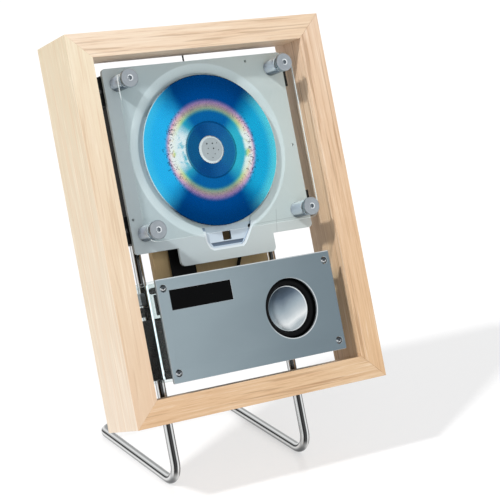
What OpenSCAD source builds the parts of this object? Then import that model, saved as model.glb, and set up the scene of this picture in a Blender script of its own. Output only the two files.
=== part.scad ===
// Disc player in a deep wooden picture frame.
// A drive unit with a clear cover and a metal control panel sit inside the frame.
// One bent steel rod is the stand and leans the frame back; two keyhole plates hang it on a wall.
// The frame's own axes are x to the right, y into the frame and z up along it; y = 0 is its front face.

/* [Frame] */
// Overall width of the wooden frame
frame_w = 228; // [224:1:250]
// Depth of the frame, front to back
frame_d = 50; // [50:0.5:60]
// Face width of the two stiles
stile_w = 20; // [17:0.5:22]
// Face width of the top and bottom rails
rail_w = 19; // [17:0.5:24]
// Depth of the inner lip in front of the rebate
lip_d = 28; // [24:1:34]
// Share of the face width that is left behind the lip
rebate_share = 0.65; // [0.6:0.01:0.7]
// Lean of the frame, in degrees back from upright
lean = 22.5; // [14:0.5:24]

/* [Stand] */
// Diameter of the stand's rod
rod_d = 7.6; // [6:0.2:8]
// Distance between the two legs, centre to centre
rod_spacing = 122; // [120:1:124]
// Length of a leg below the frame, to the corner of the foot
leg_drop = 52.4; // [40:0.2:60]
// Length of the run along the floor
foot_run = 130; // [110:1:150]
// Bend radius of the feet, on the rod's centre line
foot_bend_r = 12; // [8:0.5:14]
// Bend radius of the rear corners, on the rod's centre line
rear_bend_r = 10.5; // [9:0.5:20]
// Length of the legs above the frame's bottom edge
leg_rise = 248; // [240:1:255]

/* [Spacing] */
// Open strip between the bottom rail and the control panel
bottom_gap = 9; // [6:0.5:14]
// Open strip between the control panel and the deck's tab
mid_gap = 7.1; // [6:0.1:14]
// Open strip between the deck and the top rail
top_gap = 7; // [5:0.5:14]

/* [Deck] */
// Width of the deck plate
deck_w = 162.5; // [160.5:0.5:166]
// Height of the deck plate without its tab
deck_h = 144; // [142:0.5:150]
// Thickness of the deck plate
deck_t = 2.5; // [2:0.1:3]
// Distance of the deck's face behind the frame's face
deck_back = 15.3; // [14:0.1:17]
// Corner radius of the deck plate
deck_r = 3; // [2:0.5:6]
// Width of the tab under the deck
tab_w = 87; // [70:1:100]
// Height of the tab under the deck
tab_h = 14.5; // [13.5:0.5:20]
// Corner radius of the tab
tab_r = 4; // [2:0.5:6]
// Radial clearance around the disc in its recess
recess_gap = 2; // [1:0.1:2.4]
// Width of the sloping ring around the recess
ring_w = 7.2; // [4:0.1:7.6]
// Depth of the sloping ring at its inner edge
ring_depth = 1.5; // [0.8:0.1:1.6]

/* [Disc] */
// Diameter of the disc
disc_d = 120; // [118:0.5:120]
// Thickness of the disc
disc_t = 1.2; // [1.1:0.1:1.4]
// Distance of the disc's face in front of the deck's face
disc_proud = 2.7; // [0.6:0.1:3.4]
// Diameter of the disc's hole
disc_hole_d = 15; // [14:0.1:16]
// Diameter of the seat that carries the disc
seat_d = 30; // [26:1:32]
// Diameter of the clamp on the disc
clamp_d = 22.6; // [19:0.2:24]
// Thickness of the clamp
clamp_t = 1.2; // [1.1:0.1:2]

/* [Cover] */
// Width of the clear cover
cover_w = 157; // [154:0.5:160]
// Height of the clear cover
cover_h = 134; // [130:0.5:136]
// Thickness of the clear cover
cover_t = 3; // [2.5:0.1:4]
// Free space between the deck and the cover
cover_gap = 15.8; // [14:0.1:18]
// Distance of the standoffs from the cover's edges
standoff_inset = 8.7; // [8:0.1:11]
// Diameter of the standoffs' barrels
barrel_d = 11.6; // [9:0.1:12]
// Diameter of the standoffs' caps
cap_d = 12.6; // [11:0.1:14]
// Thickness of a cap's head
cap_t = 4; // [3:0.1:5]
// Distance of the standoffs' centre above the disc's centre
cover_rise = 1.4; // [0:0.1:2]

/* [Control module] */
// Width of the control panel
panel_w = 158; // [156.5:0.5:164]
// Height of the control panel
panel_h = 79.4; // [79:0.1:90]
// Thickness of the control panel
panel_t = 2; // [1.5:0.1:3]
// Distance of the panel's face in front of the frame's face
panel_out = 3.6; // [3:0.1:5]
// Inset of the panel's screws from its sides
screw_inset_x = 5.6; // [5.4:0.1:6]
// Inset of the panel's screws from its top and bottom
screw_inset_z = 7.4; // [7:0.1:8]
// Width of the display window
window_w = 54; // [40:0.5:56]
// Height of the display window
window_h = 15.4; // [12:0.1:16]
// Distance of the window from the panel's left edge
window_left = 10; // [9.6:0.1:14]
// Distance of the window from the panel's top edge
window_top = 9.4; // [9:0.1:12]
// Diameter of the hole in front of the loudspeaker
speaker_hole_d = 47.2; // [46.5:0.1:47.6]
// Distance of the loudspeaker's centre from the panel's right edge
speaker_right = 43.8; // [42:0.1:48]
// Distance of the loudspeaker's centre below the middle of the panel
speaker_drop = 0; // [-2:0.1:2]
// Diameter of the loudspeaker's dish
dish_d = 35.8; // [34:0.1:36]
// Depth of the dish
dish_depth = 6.6; // [5:0.1:7]
// Travel of the dish, each way
dish_travel = 1; // [0.6:0.1:1.2]
// Thickness of the clear case's walls
case_t = 2; // [1.6:0.1:2.4]
// Thickness of the clear carrier plate
carrier_t = 2.4; // [2:0.1:3]
// Diameter of the push buttons
button_d = 6; // [5:0.1:6.4]
// Travel of the push buttons
button_travel = 1; // [0.6:0.1:1]

/* [Back] */
// Width of the back board
board_w = 104; // [90:1:106]
// Thickness of the back board
board_t = 6; // [4:0.5:6]
// Width of the flat cable
ribbon_w = 22; // [18:0.5:24]
// Diameter of the signal wire
wire_d = 2.8; // [2:0.1:3]
// Diameter of the tie cord
cord_d = 1.4; // [1:0.1:2]

/* [Fits] */
// Radial clearance of a running fit
run_fit = 0.05; // [0.03:0.01:0.08]
// Radial clearance of a pressed or fixed fit
fixed_fit = 0.02; // [0.01:0.01:0.04]
// Clearance of a loose fit
loose_fit = 0.3; // [0.2:0.05:0.4]

/* [Hidden] */
$fn = 64;

// Heights along the frame
panel_z0 = rail_w + bottom_gap;
panel_z1 = panel_z0 + panel_h;
tab_z0 = panel_z1 + mid_gap;
deck_z0 = tab_z0 + tab_h;
deck_z1 = deck_z0 + deck_h;
frame_h = deck_z1 + top_gap + rail_w;
disc_z = deck_z0 + deck_h / 2;
panel_mid_z = (panel_z0 + panel_z1) / 2;

// Places of the stand in the standing pose
rod_r = rod_d / 2;
rod_x = rod_spacing / 2;
rod_y = frame_d + rod_r + 0.1;
base_z = rod_r + leg_drop * cos(lean) + rod_y * sin(lean);
foot_y = rod_y * cos(lean) - leg_drop * sin(lean);
rear_y = foot_y + foot_run;
centre_y = (rear_y + rod_r) / 2;
foot_tangent = foot_bend_r / tan((90 - lean) / 2);

// Depths of the drive unit
deck_under = deck_back + deck_t;
pan_t = 1.5;
chassis_front = deck_under + pan_t;
module_back = frame_d - board_t;
wall = 2;
recess_r = disc_d / 2 + recess_gap;
pan_r = recess_r + 2.5;
disc_front = deck_back - disc_proud;
disc_rear = disc_front + disc_t;
hub_hole_r = seat_d / 2 + 2;

// Outline of the drive's housing behind the deck
chassis_w = deck_w - 6.5;
chassis_z0 = deck_z0 + 9;
chassis_z1 = deck_z1 - 2.5;

// Mechanism
mech_y = chassis_front + 8.7;
mech_t = 1.2;
rail_y = mech_y - 4;
mech_left = 24;
rail_r = 1.5;
rail_off = 21;
screw_off = 31;
screw_r = 1.6;
sled_x0 = 12;
sled_l = 24;
post_t = 3.5;
rail_x0 = 5;
rail_x1 = chassis_w / 2 - wall - 0.9;
lens_r = 2.9;
shaft_r = 1;
spindle_r = 12.5;

// Cover and standoffs
cover_back_y = deck_back - cover_gap;
cover_front_y = cover_back_y - cover_t;
standoff_x = cover_w / 2 - standoff_inset;
standoff_dz = cover_h / 2 - standoff_inset;
cover_z = disc_z + cover_rise;
stud_r = 2.5;

// Control module
panel_front = -panel_out;
panel_back = panel_front + panel_t;
screw_x = panel_w / 2 - screw_inset_x;
screw_z0 = panel_z0 + screw_inset_z;
screw_z1 = panel_z1 - screw_inset_z;
window_x0 = -panel_w / 2 + window_left;
window_z1 = panel_z1 - window_top;
speaker_x = panel_w / 2 - speaker_right;
speaker_z = panel_mid_z - speaker_drop;
case_x = panel_w / 2 - 1;
case_z0 = panel_z0 + 2;
case_z1 = panel_z1;
in_x = case_x - case_t;
in_z0 = case_z0 + case_t;
in_z1 = case_z1 - case_t;
in_back = module_back - case_t;
carrier_y = 15.8;
carrier_back = carrier_y + carrier_t;
spacer_r = 2.5;
black_top = window_z1 - window_h - 3.6;
magnet_y = 13;
magnet_r = 16;
amp_y = in_back - 10.4;
amp_t = 1.6;
amp_x0 = speaker_x - 21;
button_x = in_x - 4.5;
button_z = [for (i = [0 : 2]) in_z1 - 7 - 10 * i];
power_z = in_z0 + 13;
jack_x = -in_x + 4.5;
inlet_z = in_z1 - 10;
jack_z = in_z1 - 20;

// Cables
ribbon_x = -29.5;
ribbon_t = 1;
ribbon_y = module_back - 5;
ribbon_top = disc_z - 51.5;
wire_x1 = amp_x0 + 5;
wire_x0 = wire_x1 + 8;
wire_y = module_back - 6;
wire_low = in_z1 - 9;
cord_y = lip_d + 1.6;
ceiling_z = frame_h - rail_w * rebate_share;

// Back fittings
block_w = 17.4;
block_h = 16;
block_d = rod_y + rod_r + 2.4 - module_back;
block_z = [panel_z0 + 32, disc_z + 24];
saddle_z = rail_w * rebate_share / 2;
hanger_x = frame_w / 2 - stile_w * rebate_share / 2;
hanger_z = frame_h - 42;

// ---------- helpers, in the frame's own axes ----------

module leaned() {
    translate([0, -centre_y, base_z]) rotate([-lean, 0, 0]) children();
}

// A flat shape drawn in x and z, made solid from depth y0 to depth y1
module slab(y0, y1) {
    translate([0, y1, 0]) rotate([90, 0, 0]) linear_extrude(y1 - y0) children();
}

module pin_y(x, z, r, y0, y1) {
    translate([x, y0, z]) rotate([-90, 0, 0]) cylinder(r = r, h = y1 - y0);
}

module pin_x(x0, x1, y, z, r) {
    translate([x0, y, z]) rotate([0, 90, 0]) cylinder(r = r, h = x1 - x0);
}

module block(x0, x1, y0, y1, z0, z1) {
    translate([x0, y0, z0]) cube([x1 - x0, y1 - y0, z1 - z0]);
}

// A profile of radius against depth, turned about the axis through x and z
module turned(x, z) {
    translate([x, 0, z]) rotate([-90, 0, 0]) rotate_extrude() children();
}

module rounded(x0, x1, z0, z1, r) {
    translate([x0 + r, z0]) square([x1 - x0 - 2 * r, z1 - z0]);
    translate([x0, z0 + r]) square([x1 - x0, z1 - z0 - 2 * r]);
    for (x = [x0 + r, x1 - r], z = [z0 + r, z1 - r]) translate([x, z]) circle(r = r);
}

module mirrored() {
    children();
    mirror([1, 0, 0]) children();
}

module at_standoffs() {
    for (sx = [-1, 1], sz = [-1, 1])
        translate([sx * standoff_x, 0, cover_z + sz * standoff_dz]) children();
}

module at_panel_screws() {
    for (sx = [-1, 1], z = [screw_z0, screw_z1]) translate([sx * screw_x, 0, z]) children();
}

// ---------- wooden frame ----------

// One mitred member: the lip in front, and the thinner part behind it
module stile_shape(share) {
    x = frame_w / 2;
    polygon([[-x, 0], [-x + stile_w * share, rail_w * share],
        [-x + stile_w * share, frame_h - rail_w * share], [-x, frame_h]]);
}

module rail_shape(share) {
    x = frame_w / 2;
    polygon([[-x, 0], [x, 0], [x - stile_w * share, rail_w * share],
        [-x + stile_w * share, rail_w * share]]);
}

module left_stile() {
    difference() {
        union() {
            slab(0, lip_d) stile_shape(1);
            slab(lip_d, frame_d) stile_shape(rebate_share);
        }
        slab(frame_d - hanger_t, frame_d + 1)
            rounded(-hanger_x - hanger_w / 2, -hanger_x + hanger_w / 2,
                hanger_z - hanger_h / 2, hanger_z + hanger_h / 2, 2);
        slab(frame_d - hanger_t - 6, frame_d)
            rounded(-hanger_x - 4, -hanger_x + 4, hanger_z - 8, hanger_z + 10, 3.9);
    }
}

module bottom_rail() {
    slab(0, lip_d) rail_shape(1);
    slab(lip_d, frame_d) rail_shape(rebate_share);
}

module frame_left_stile() { color("burlywood") leaned() left_stile(); }

module frame_right_stile() { color("burlywood") leaned() mirror([1, 0, 0]) left_stile(); }

module frame_bottom_rail() { color("burlywood") leaned() bottom_rail(); }

module frame_top_rail() {
    color("burlywood") leaned() translate([0, 0, frame_h]) mirror([0, 0, 1]) bottom_rail();
}

// ---------- wall hangers ----------

hanger_w = 11;
hanger_h = 34;
hanger_t = 1.5;
hanger_screw_z = 13;
keyhole_r = 3.5;

module hanger_plates() {
    color("silver") leaned() mirrored() difference() {
        slab(frame_d - hanger_t, frame_d)
            rounded(-hanger_x - hanger_w / 2, -hanger_x + hanger_w / 2,
                hanger_z - hanger_h / 2, hanger_z + hanger_h / 2, 2);
        pin_y(-hanger_x, hanger_z - 3.5, keyhole_r, frame_d - hanger_t - 1, frame_d + 1);
        slab(frame_d - hanger_t - 1, frame_d + 1)
            translate([-hanger_x - 1.8, hanger_z - 3.5]) square([3.6, 9]);
        pin_y(-hanger_x, hanger_z + 5.5, 1.8, frame_d - hanger_t - 1, frame_d + 1);
        for (s = [-1, 1])
            pin_y(-hanger_x, hanger_z + s * hanger_screw_z, 1.5, frame_d - hanger_t - 1, frame_d + 1);
    }
}

module hanger_screws() {
    color("silver") leaned() mirrored() for (s = [-1, 1])
        turned(-hanger_x, hanger_z + s * hanger_screw_z)
            polygon([[0, frame_d - hanger_t], [1.48, frame_d - hanger_t], [1.48, frame_d],
                [2.6, frame_d], [2.2, frame_d + 0.9], [0, frame_d + 1.2]]);
}

// ---------- stand ----------

// An arc of rod in the plane of y and z, about the point cy, cz
module arc_yz(x, cy, cz, r, from, sweep) {
    translate([x, cy, cz]) rotate([90, 0, 90]) rotate([0, 0, from])
        rotate_extrude(angle = sweep) translate([r, 0]) circle(r = rod_r);
}

module arc_xy(cx, cy, cz, r, from, sweep) {
    translate([cx, cy, cz]) rotate([0, 0, from])
        rotate_extrude(angle = sweep) translate([r, 0]) circle(r = rod_r);
}

// Each stretch of rod ends a hair before the next, and a spigot inside joins the two
seam = 0.02;
spigot_r = rod_r - 0.1;
spigot_l = 1;

module rod_run(h) {
    translate([0, 0, seam]) cylinder(r = rod_r, h = h - 2 * seam);
    translate([0, 0, -spigot_l]) cylinder(r = spigot_r, h = 2 * spigot_l);
    translate([0, 0, h - spigot_l]) cylinder(r = spigot_r, h = 2 * spigot_l);
}

module wire_stand() {
    $fn = 40;
    bend_y = foot_y + foot_tangent;
    bend_z = rod_r + foot_bend_r;
    leg = leg_rise + leg_drop - foot_tangent;
    tip = 0.8;
    color("silver") translate([0, -centre_y, 0]) {
        mirrored() {
            translate([-rod_x, bend_y - foot_bend_r * cos(lean), bend_z + foot_bend_r * sin(lean)])
                rotate([-lean, 0, 0]) {
                    rotate_extrude() polygon([[0, seam], [rod_r, seam], [rod_r, leg - tip],
                        [rod_r - tip, leg], [0, leg]]);
                    translate([0, 0, -spigot_l]) cylinder(r = spigot_r, h = 2 * spigot_l);
                }
            arc_yz(-rod_x, bend_y, bend_z, foot_bend_r, 180 - lean, 90 + lean);
            translate([-rod_x, bend_y, rod_r]) rotate([-90, 0, 0])
                rod_run(foot_run - foot_tangent - rear_bend_r);
            arc_xy(-rod_x + rear_bend_r, rear_y - rear_bend_r, rod_r, rear_bend_r, 90, 90);
        }
        translate([-rod_x + rear_bend_r, rear_y, rod_r]) rotate([0, 90, 0])
            rod_run(rod_spacing - 2 * rear_bend_r);
    }
}

saddle_h = 8;
saddle_t = 1.2;
saddle_screw_x = rod_r + 5;

module rod_saddles() {
    color("silver") leaned() mirrored() translate([rod_x, 0, saddle_z - saddle_h / 2])
        difference() {
            union() {
                translate([0, rod_y, 0]) cylinder(r = rod_r + 0.1 + saddle_t, h = saddle_h);
                translate([-saddle_screw_x - 3.5, frame_d, 0])
                    cube([2 * saddle_screw_x + 7, saddle_t, saddle_h]);
                translate([-rod_r - 0.1 - saddle_t, frame_d, 0])
                    cube([2 * (rod_r + 0.1 + saddle_t), rod_y - frame_d, saddle_h]);
            }
            translate([0, rod_y, -1]) cylinder(r = rod_r + 0.1, h = saddle_h + 2);
            translate([-rod_r - 0.1, frame_d - 10, -1])
                cube([2 * rod_r + 0.2, rod_y - frame_d + 10, saddle_h + 2]);
            translate([-2 * saddle_screw_x, frame_d - 20, -1])
                cube([4 * saddle_screw_x, 20, saddle_h + 2]);
            for (s = [-1, 1])
                pin_y(s * saddle_screw_x, saddle_h / 2, 1.5, frame_d - 1, frame_d + saddle_t + 1);
        }
}

module saddle_screws() {
    y = frame_d + saddle_t;
    color("silver") leaned() mirrored() for (s = [-1, 1])
        turned(rod_x + s * saddle_screw_x, saddle_z)
            polygon([[0, frame_d], [1.48, frame_d], [1.48, y], [2.7, y], [2.3, y + 1.1],
                [0, y + 1.5]]);
}

// ---------- board and blocks behind the two units ----------

module at_board_screws() {
    for (x = [-board_w / 2 + 8, board_w / 2 - 8], z = [panel_z0 + 26, chassis_z1 - 20])
        translate([x, 0, z]) children();
}

module back_board() {
    color("tan") leaned() difference() {
        slab(module_back, frame_d)
            rounded(-board_w / 2, board_w / 2, panel_z0 + 18, chassis_z1 - 12, 4);
        at_board_screws() pin_y(0, 0, 1.5, module_back - 1, frame_d + 1);
    }
}

module board_screws() {
    color("silver") leaned() at_board_screws() difference() {
        turned(0, 0)
            polygon([[0, module_back], [1.48, module_back], [1.48, frame_d], [2.8, frame_d],
                [2.4, frame_d + 1.1], [0, frame_d + 1.5]]);
        for (a = [0, 90])
            translate([0, frame_d + 0.7, 0]) rotate([0, a, 0])
                translate([-1.5, 0, -0.35]) cube([3, 2, 0.7]);
    }
}

module rod_blocks() {
    color("dimgray") leaned() mirrored() for (z = block_z) difference() {
        slab(module_back, module_back + block_d)
            rounded(rod_x - block_w / 2, rod_x + block_w / 2, z - block_h / 2, z + block_h / 2, 2);
        translate([rod_x, rod_y, z - block_h]) cylinder(r = rod_r + 0.05, h = 2 * block_h);
        block(rod_x - 0.6, rod_x + 0.6, rod_y, module_back + block_d + 1, z - block_h, z + block_h);
    }
}

module block_screws() {
    y = module_back + block_d;
    color("silver") leaned() mirrored() for (z = block_z, s = [-1, 1])
        difference() {
            turned(rod_x + s * 6.2, z)
                polygon([[0, y], [2.1, y], [2.1, y + 1.2], [1.7, y + 1.8], [0, y + 1.8]]);
            pin_y(rod_x + s * 6.2, z, 1, y + 0.8, y + 3, $fn = 6);
        }
}

// ---------- drive unit ----------

notch_z = tab_z0 + 10;

// Finger notch under the disc: one upright side, one slanted side and a flat bottom
module notch_shape(grow) {
    polygon([[-16.9 - grow, disc_z - recess_r + 8], [-16.9 - grow, notch_z + 6 - grow * 0.3],
        [-14.6 - grow * 0.8, notch_z + 1.4 - grow * 0.8], [-12 - grow * 0.3, notch_z - grow],
        [13.5 + grow * 0.4, notch_z - grow], [16 + grow * 0.8, notch_z + 1.6 - grow * 0.6],
        [24 + grow, notch_z + 12.6], [27 + grow * 0.7, disc_z - recess_r + 9]]);
}

module deck_outline() {
    rounded(-deck_w / 2, deck_w / 2, deck_z0, deck_z1, deck_r);
    rounded(-tab_w / 2, tab_w / 2, tab_z0, deck_z0 + 3 * tab_r, tab_r);
}

module housing_outline(inset) {
    rounded(-chassis_w / 2 + inset, chassis_w / 2 - inset, chassis_z0 + inset,
        chassis_z1 - inset, 3);
}

module deck_plate() {
    low = deck_back - 1;
    slope = ring_w / ring_depth;
    color("lightgray") leaned() difference() {
        union() {
            slab(deck_back, deck_under) deck_outline();
            pin_y(0, disc_z, pan_r, deck_under, chassis_front);
            slab(deck_under, chassis_front) notch_shape(2.5);
            slab(deck_under, chassis_front) difference() {
                housing_outline(0);
                housing_outline(wall);
            }
        }
        // sloping ring, recess and notch
        turned(0, disc_z)
            polygon([[0, low], [recess_r + ring_w + slope, low],
                [recess_r, deck_back + ring_depth], [recess_r, deck_under], [0, deck_under]]);
        slab(low, deck_back + 0.7) notch_shape(1.8);
        slab(low, deck_under) notch_shape(0);
        // hub opening, pickup window and the openings of the finger notch
        pin_y(0, disc_z, hub_hole_r, deck_under - 1, chassis_front + 1);
        slab(deck_under - 1, chassis_front + 1)
            rounded(hub_hole_r - 4, recess_r - 0.4, disc_z - 15, disc_z + 15, 4);
        slab(deck_under - 1, chassis_front + 1)
            rounded(-1.4, 6.2, notch_z + 5.1, notch_z + 12.3, 0.6);
        slab(deck_under - 1, deck_under + 0.9)
            polygon([[-13.2, notch_z + 4.3], [-11.3, notch_z + 1.4],
                [15.2, notch_z + 1.4], [17.2, notch_z + 4.3]]);
        pin_y(24.8, notch_z + 12.9, 2.1, deck_under - 1, chassis_front + 1);
        for (p = [[3.3, 26.8], [deck_w - 3.9, 67.8], [deck_w - 33.6, 139.2]])
            pin_y(-deck_w / 2 + p[0], deck_z0 + p[1], 1.1, low, deck_under + 1);
    }
}

vent_x = chassis_w / 2 - 10;

module drive_chassis() {
    color([0.09, 0.09, 0.1]) leaned() difference() {
        union() {
            difference() {
                slab(chassis_front, module_back) housing_outline(0);
                slab(chassis_front - 1, module_back - wall) housing_outline(wall);
            }
            for (x = [-18, rail_x1 - 12], s = [-1, 1])
                pin_y(x, disc_z + s * 36, 3.5, mech_y + mech_t, module_back - wall + 0.5);
            for (x = [-vent_x, -30], s = [-1, 1])
                pin_y(x, disc_z + s * 44, 2.5, board_y + amp_t, module_back - wall + 0.5);
        }
        // cable slot and wire hole in the bottom wall, cord hole in the top wall
        block(ribbon_x - ribbon_w / 2 - loose_fit, ribbon_x + ribbon_w / 2 + loose_fit,
            ribbon_y - ribbon_t / 2 - loose_fit, ribbon_y + ribbon_t / 2 + loose_fit,
            chassis_z0 - 1, chassis_z0 + wall + 1);
        translate([wire_x0, wire_y, chassis_z0 - 1])
            cylinder(r = wire_d / 2 + fixed_fit, h = wall + 2);
        translate([0, cord_y, chassis_z1 - wall - 1])
            cylinder(r = cord_d / 2 + fixed_fit, h = wall + 2);
        // vents in the back wall, clear of the board
        for (s = [-1, 1], i = [0 : 4])
            slab(module_back - wall - 1, module_back + 1)
                rounded(s * vent_x - 6, s * vent_x + 6, disc_z - 34 + 8 * i, disc_z - 31 + 8 * i, 1.4);
    }
}

board_y = module_back - 8;

ear_t = 1.6;
ear_w = 0.5625 * (frame_w / 2 - stile_w - chassis_w / 2);
ear_hole_x = chassis_w / 2 + (ear_w + ear_t) / 2;
ear_hole_r = 0.23 * (ear_w - ear_t);

module side_brackets() {
    x = chassis_w / 2;
    y = chassis_front + 1;
    color("dimgray") leaned() mirrored()
        for (z = [[chassis_z0, chassis_z0 + 21.3], [chassis_z1 - 25, chassis_z1 - 2.5]])
            difference() {
                union() {
                    block(x, x + ear_w, y, y + ear_t, z[0], z[1]);
                    block(x, x + ear_t, y, y + 14, z[0], z[1]);
                }
                pin_y(ear_hole_x, (z[0] + z[1]) / 2, ear_hole_r, y - 1, y + ear_t + 1);
            }
}

module mech_plate() {
    color("silver") leaned() difference() {
        union() {
            slab(mech_y, mech_y + mech_t) difference() {
                rounded(-mech_left, rail_x1, disc_z - 41, disc_z + 41, 3);
                rounded(mech_left - 2, rail_x1 - 15.1, disc_z - 12, disc_z + 12, 3);
            }
            for (x = [rail_x0, rail_x1 - post_t], s = [-1, 1])
                block(x, x + post_t, rail_y - rail_r - 1.5, mech_y, disc_z + s * rail_off - 3,
                    disc_z + s * rail_off + 3);
            block(rail_x1 - post_t, rail_x1, rail_y - screw_r - 1.4, mech_y,
                disc_z + screw_off - 3, disc_z + screw_off + 3);
            block(-12, 6, rail_y + 2, mech_y, disc_z + screw_off - 3.5, disc_z + screw_off + 3.5);
        }
        for (s = [-1, 1])
            pin_x(rail_x0 - 1, rail_x1 + 1, rail_y, disc_z + s * rail_off, rail_r + fixed_fit);
        pin_x(9, rail_x1 + 1, rail_y, disc_z + screw_off, screw_r + run_fit);
        pin_x(-20, 9, rail_y, disc_z + screw_off, 4 + fixed_fit);
        pin_y(0, disc_z, 3.3, mech_y - 1, mech_y + mech_t + 1);
    }
}

module guide_rods() {
    color("silver") leaned() for (s = [-1, 1])
        pin_x(rail_x0, rail_x1, rail_y, disc_z + s * rail_off, rail_r);
}

module lead_screw() {
    color("gold") leaned() difference() {
        union() {
            pin_x(9, rail_x1, rail_y, disc_z + screw_off, screw_r);
            pin_x(4, 9, rail_y, disc_z + screw_off, 0.8);
        }
        for (i = [0 : 15])
            translate([13 + 3 * i, rail_y, disc_z + screw_off]) rotate([0, 90, 0])
                rotate_extrude() translate([screw_r, 0]) circle(r = 0.35, $fn = 4);
    }
}

module sled_motor() {
    color("gray") leaned() difference() {
        pin_x(-14, 8, rail_y, disc_z + screw_off, 4);
        pin_x(3.5, 9, rail_y, disc_z + screw_off, 0.8 + run_fit);
    }
}

module pickup_sled() {
    top = rail_y - 3.6;
    color([0.15, 0.15, 0.17]) leaned() difference() {
        union() {
            block(sled_x0, sled_x0 + sled_l, top, rail_y + 3.2, disc_z - rail_off + 4,
                disc_z + rail_off - 4);
            block(sled_x0 + 1, sled_x0 + sled_l - 1, rail_y - 3, rail_y + 3,
                disc_z - rail_off - 4, disc_z - rail_off + 4);
            block(sled_x0 + 7, sled_x0 + 17, rail_y - 3, rail_y + 3,
                disc_z + rail_off - 4, disc_z + rail_off + 4);
            block(sled_x0 + 8, sled_x0 + 16, rail_y - 1, rail_y + 1,
                disc_z + rail_off + 4, disc_z + screw_off - screw_r - loose_fit);
        }
        for (s = [-1, 1])
            pin_x(sled_x0 - 1, sled_x0 + sled_l + 1, rail_y, disc_z + s * rail_off,
                rail_r + run_fit);
        pin_y(sled_x0 + sled_l / 2, disc_z, lens_r + 0.8, top - 1, rail_y - 1.6);
    }
}

module pickup_lens() {
    x = sled_x0 + sled_l / 2;
    color("steelblue") leaned() turned(x, disc_z)
        polygon([[0, disc_rear + 3], [1.5, disc_rear + 3.1], [2.3, disc_rear + 3.6],
            [lens_r, disc_rear + 3.6], [lens_r, rail_y - 1.6], [0, rail_y - 1.6]]);
}

module spindle_motor() {
    back = mech_y + mech_t;
    color("gray") leaned() difference() {
        turned(0, disc_z)
            polygon([[0, mech_y - 1.8], [3.2, mech_y - 1.8], [3.2, back], [spindle_r - 0.6, back],
                [spindle_r, back + 0.6], [spindle_r, back + 10], [spindle_r - 1, back + 11],
                [0, back + 11]]);
        pin_y(0, disc_z, shaft_r + run_fit, mech_y - 3, back + 7);
    }
}

module turntable() {
    nose_r = disc_hole_d / 2 - 0.1;
    color("dimgray") leaned() turned(0, disc_z)
        polygon([[0, disc_front + 0.2], [nose_r - 0.5, disc_front + 0.2],
            [nose_r, disc_front + 0.6], [nose_r, disc_rear], [seat_d / 2, disc_rear],
            [seat_d / 2, disc_rear + 1.2], [seat_d / 2 - 3, disc_rear + 1.7],
            [3.4, disc_rear + 1.7], [3.4, mech_y - 2.1], [shaft_r, mech_y - 2.1],
            [shaft_r, mech_y + mech_t + 6.4], [0, mech_y + mech_t + 6.4]]);
}

module disc() {
    color("dodgerblue") leaned() turned(0, disc_z)
        polygon([[disc_hole_d / 2, disc_front], [16.2, disc_front], [16.5, disc_front + 0.2],
            [17.1, disc_front + 0.2], [17.4, disc_front], [disc_d / 2 - 0.3, disc_front],
            [disc_d / 2, disc_front + 0.3], [disc_d / 2, disc_rear - 0.3],
            [disc_d / 2 - 0.3, disc_rear], [disc_hole_d / 2, disc_rear]], $fn = 128);
}

module disc_clamp() {
    r = clamp_d / 2;
    front = disc_front - clamp_t;
    color("silver") leaned() difference() {
        turned(0, disc_z)
            polygon([[0, front + 0.2], [r - 2.4, front + 0.2], [r - 1.9, front],
                [r - 1.3, front], [r - 0.2, disc_front - 0.3], [r, disc_front],
                [disc_hole_d / 2 + 0.2, disc_front],
                [disc_hole_d / 2 + 0.2, disc_front - 0.5], [0, disc_front - 0.5]]);
        for (a = [20 : 72 : 308])
            pin_y(4.6 * cos(a), disc_z + 4.6 * sin(a), 0.7, front, front + 0.5);
        pin_y(0, disc_z, 1, front, front + 0.5);
    }
}

module drive_board() {
    color("darkgreen") leaned() {
        slab(board_y, board_y + amp_t) {
            rounded(-chassis_w / 2 + 4, -26, disc_z - 52, disc_z + 52, 1);
            rounded(ribbon_x - 13, ribbon_x + 13, disc_z - 52, disc_z - 42, 1);
        }
        block(4 - vent_x, 18 - vent_x, board_y - 1.6, board_y, disc_z - 7, disc_z + 7);
        block(-46, -38, board_y - 1.2, board_y, disc_z + 14, disc_z + 22);
        // the flat cable's socket behind the board, and the signal wire's terminal on the back wall
        block(ribbon_x - ribbon_w / 2 - 1, ribbon_x + ribbon_w / 2 + 1, board_y + amp_t,
            board_y + amp_t + 3.6, ribbon_top, ribbon_top + 4.5);
        block(wire_x0 - 5, wire_x0 + 5, wire_y - 2, module_back - wall, chassis_z0 + 8,
            chassis_z0 + 15);
        for (i = [0 : 3]) pin_y(6 - vent_x + 8 * i, disc_z - 24, 2.5, board_y - 5, board_y);
    }
}

// ---------- clear cover on its four standoffs ----------

module standoff_barrels() {
    r = barrel_d / 2;
    color("silver") leaned() at_standoffs() difference() {
        turned(0, 0)
            polygon([[0, cover_back_y], [r - 0.5, cover_back_y], [r, cover_back_y + 0.5],
                [r, deck_back - 1], [r - 0.6, deck_back], [0, deck_back]]);
        pin_y(0, 0, stud_r + run_fit, cover_back_y - 1, cover_back_y + 9);
    }
}

module clear_cover() {
    color([0.8, 0.9, 0.95, 0.35]) leaned() difference() {
        slab(cover_front_y, cover_back_y)
            rounded(-cover_w / 2, cover_w / 2, cover_z - cover_h / 2, cover_z + cover_h / 2,
                standoff_inset);
        at_standoffs() pin_y(0, 0, stud_r + loose_fit, cover_front_y - 1, cover_back_y + 1);
    }
}

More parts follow.
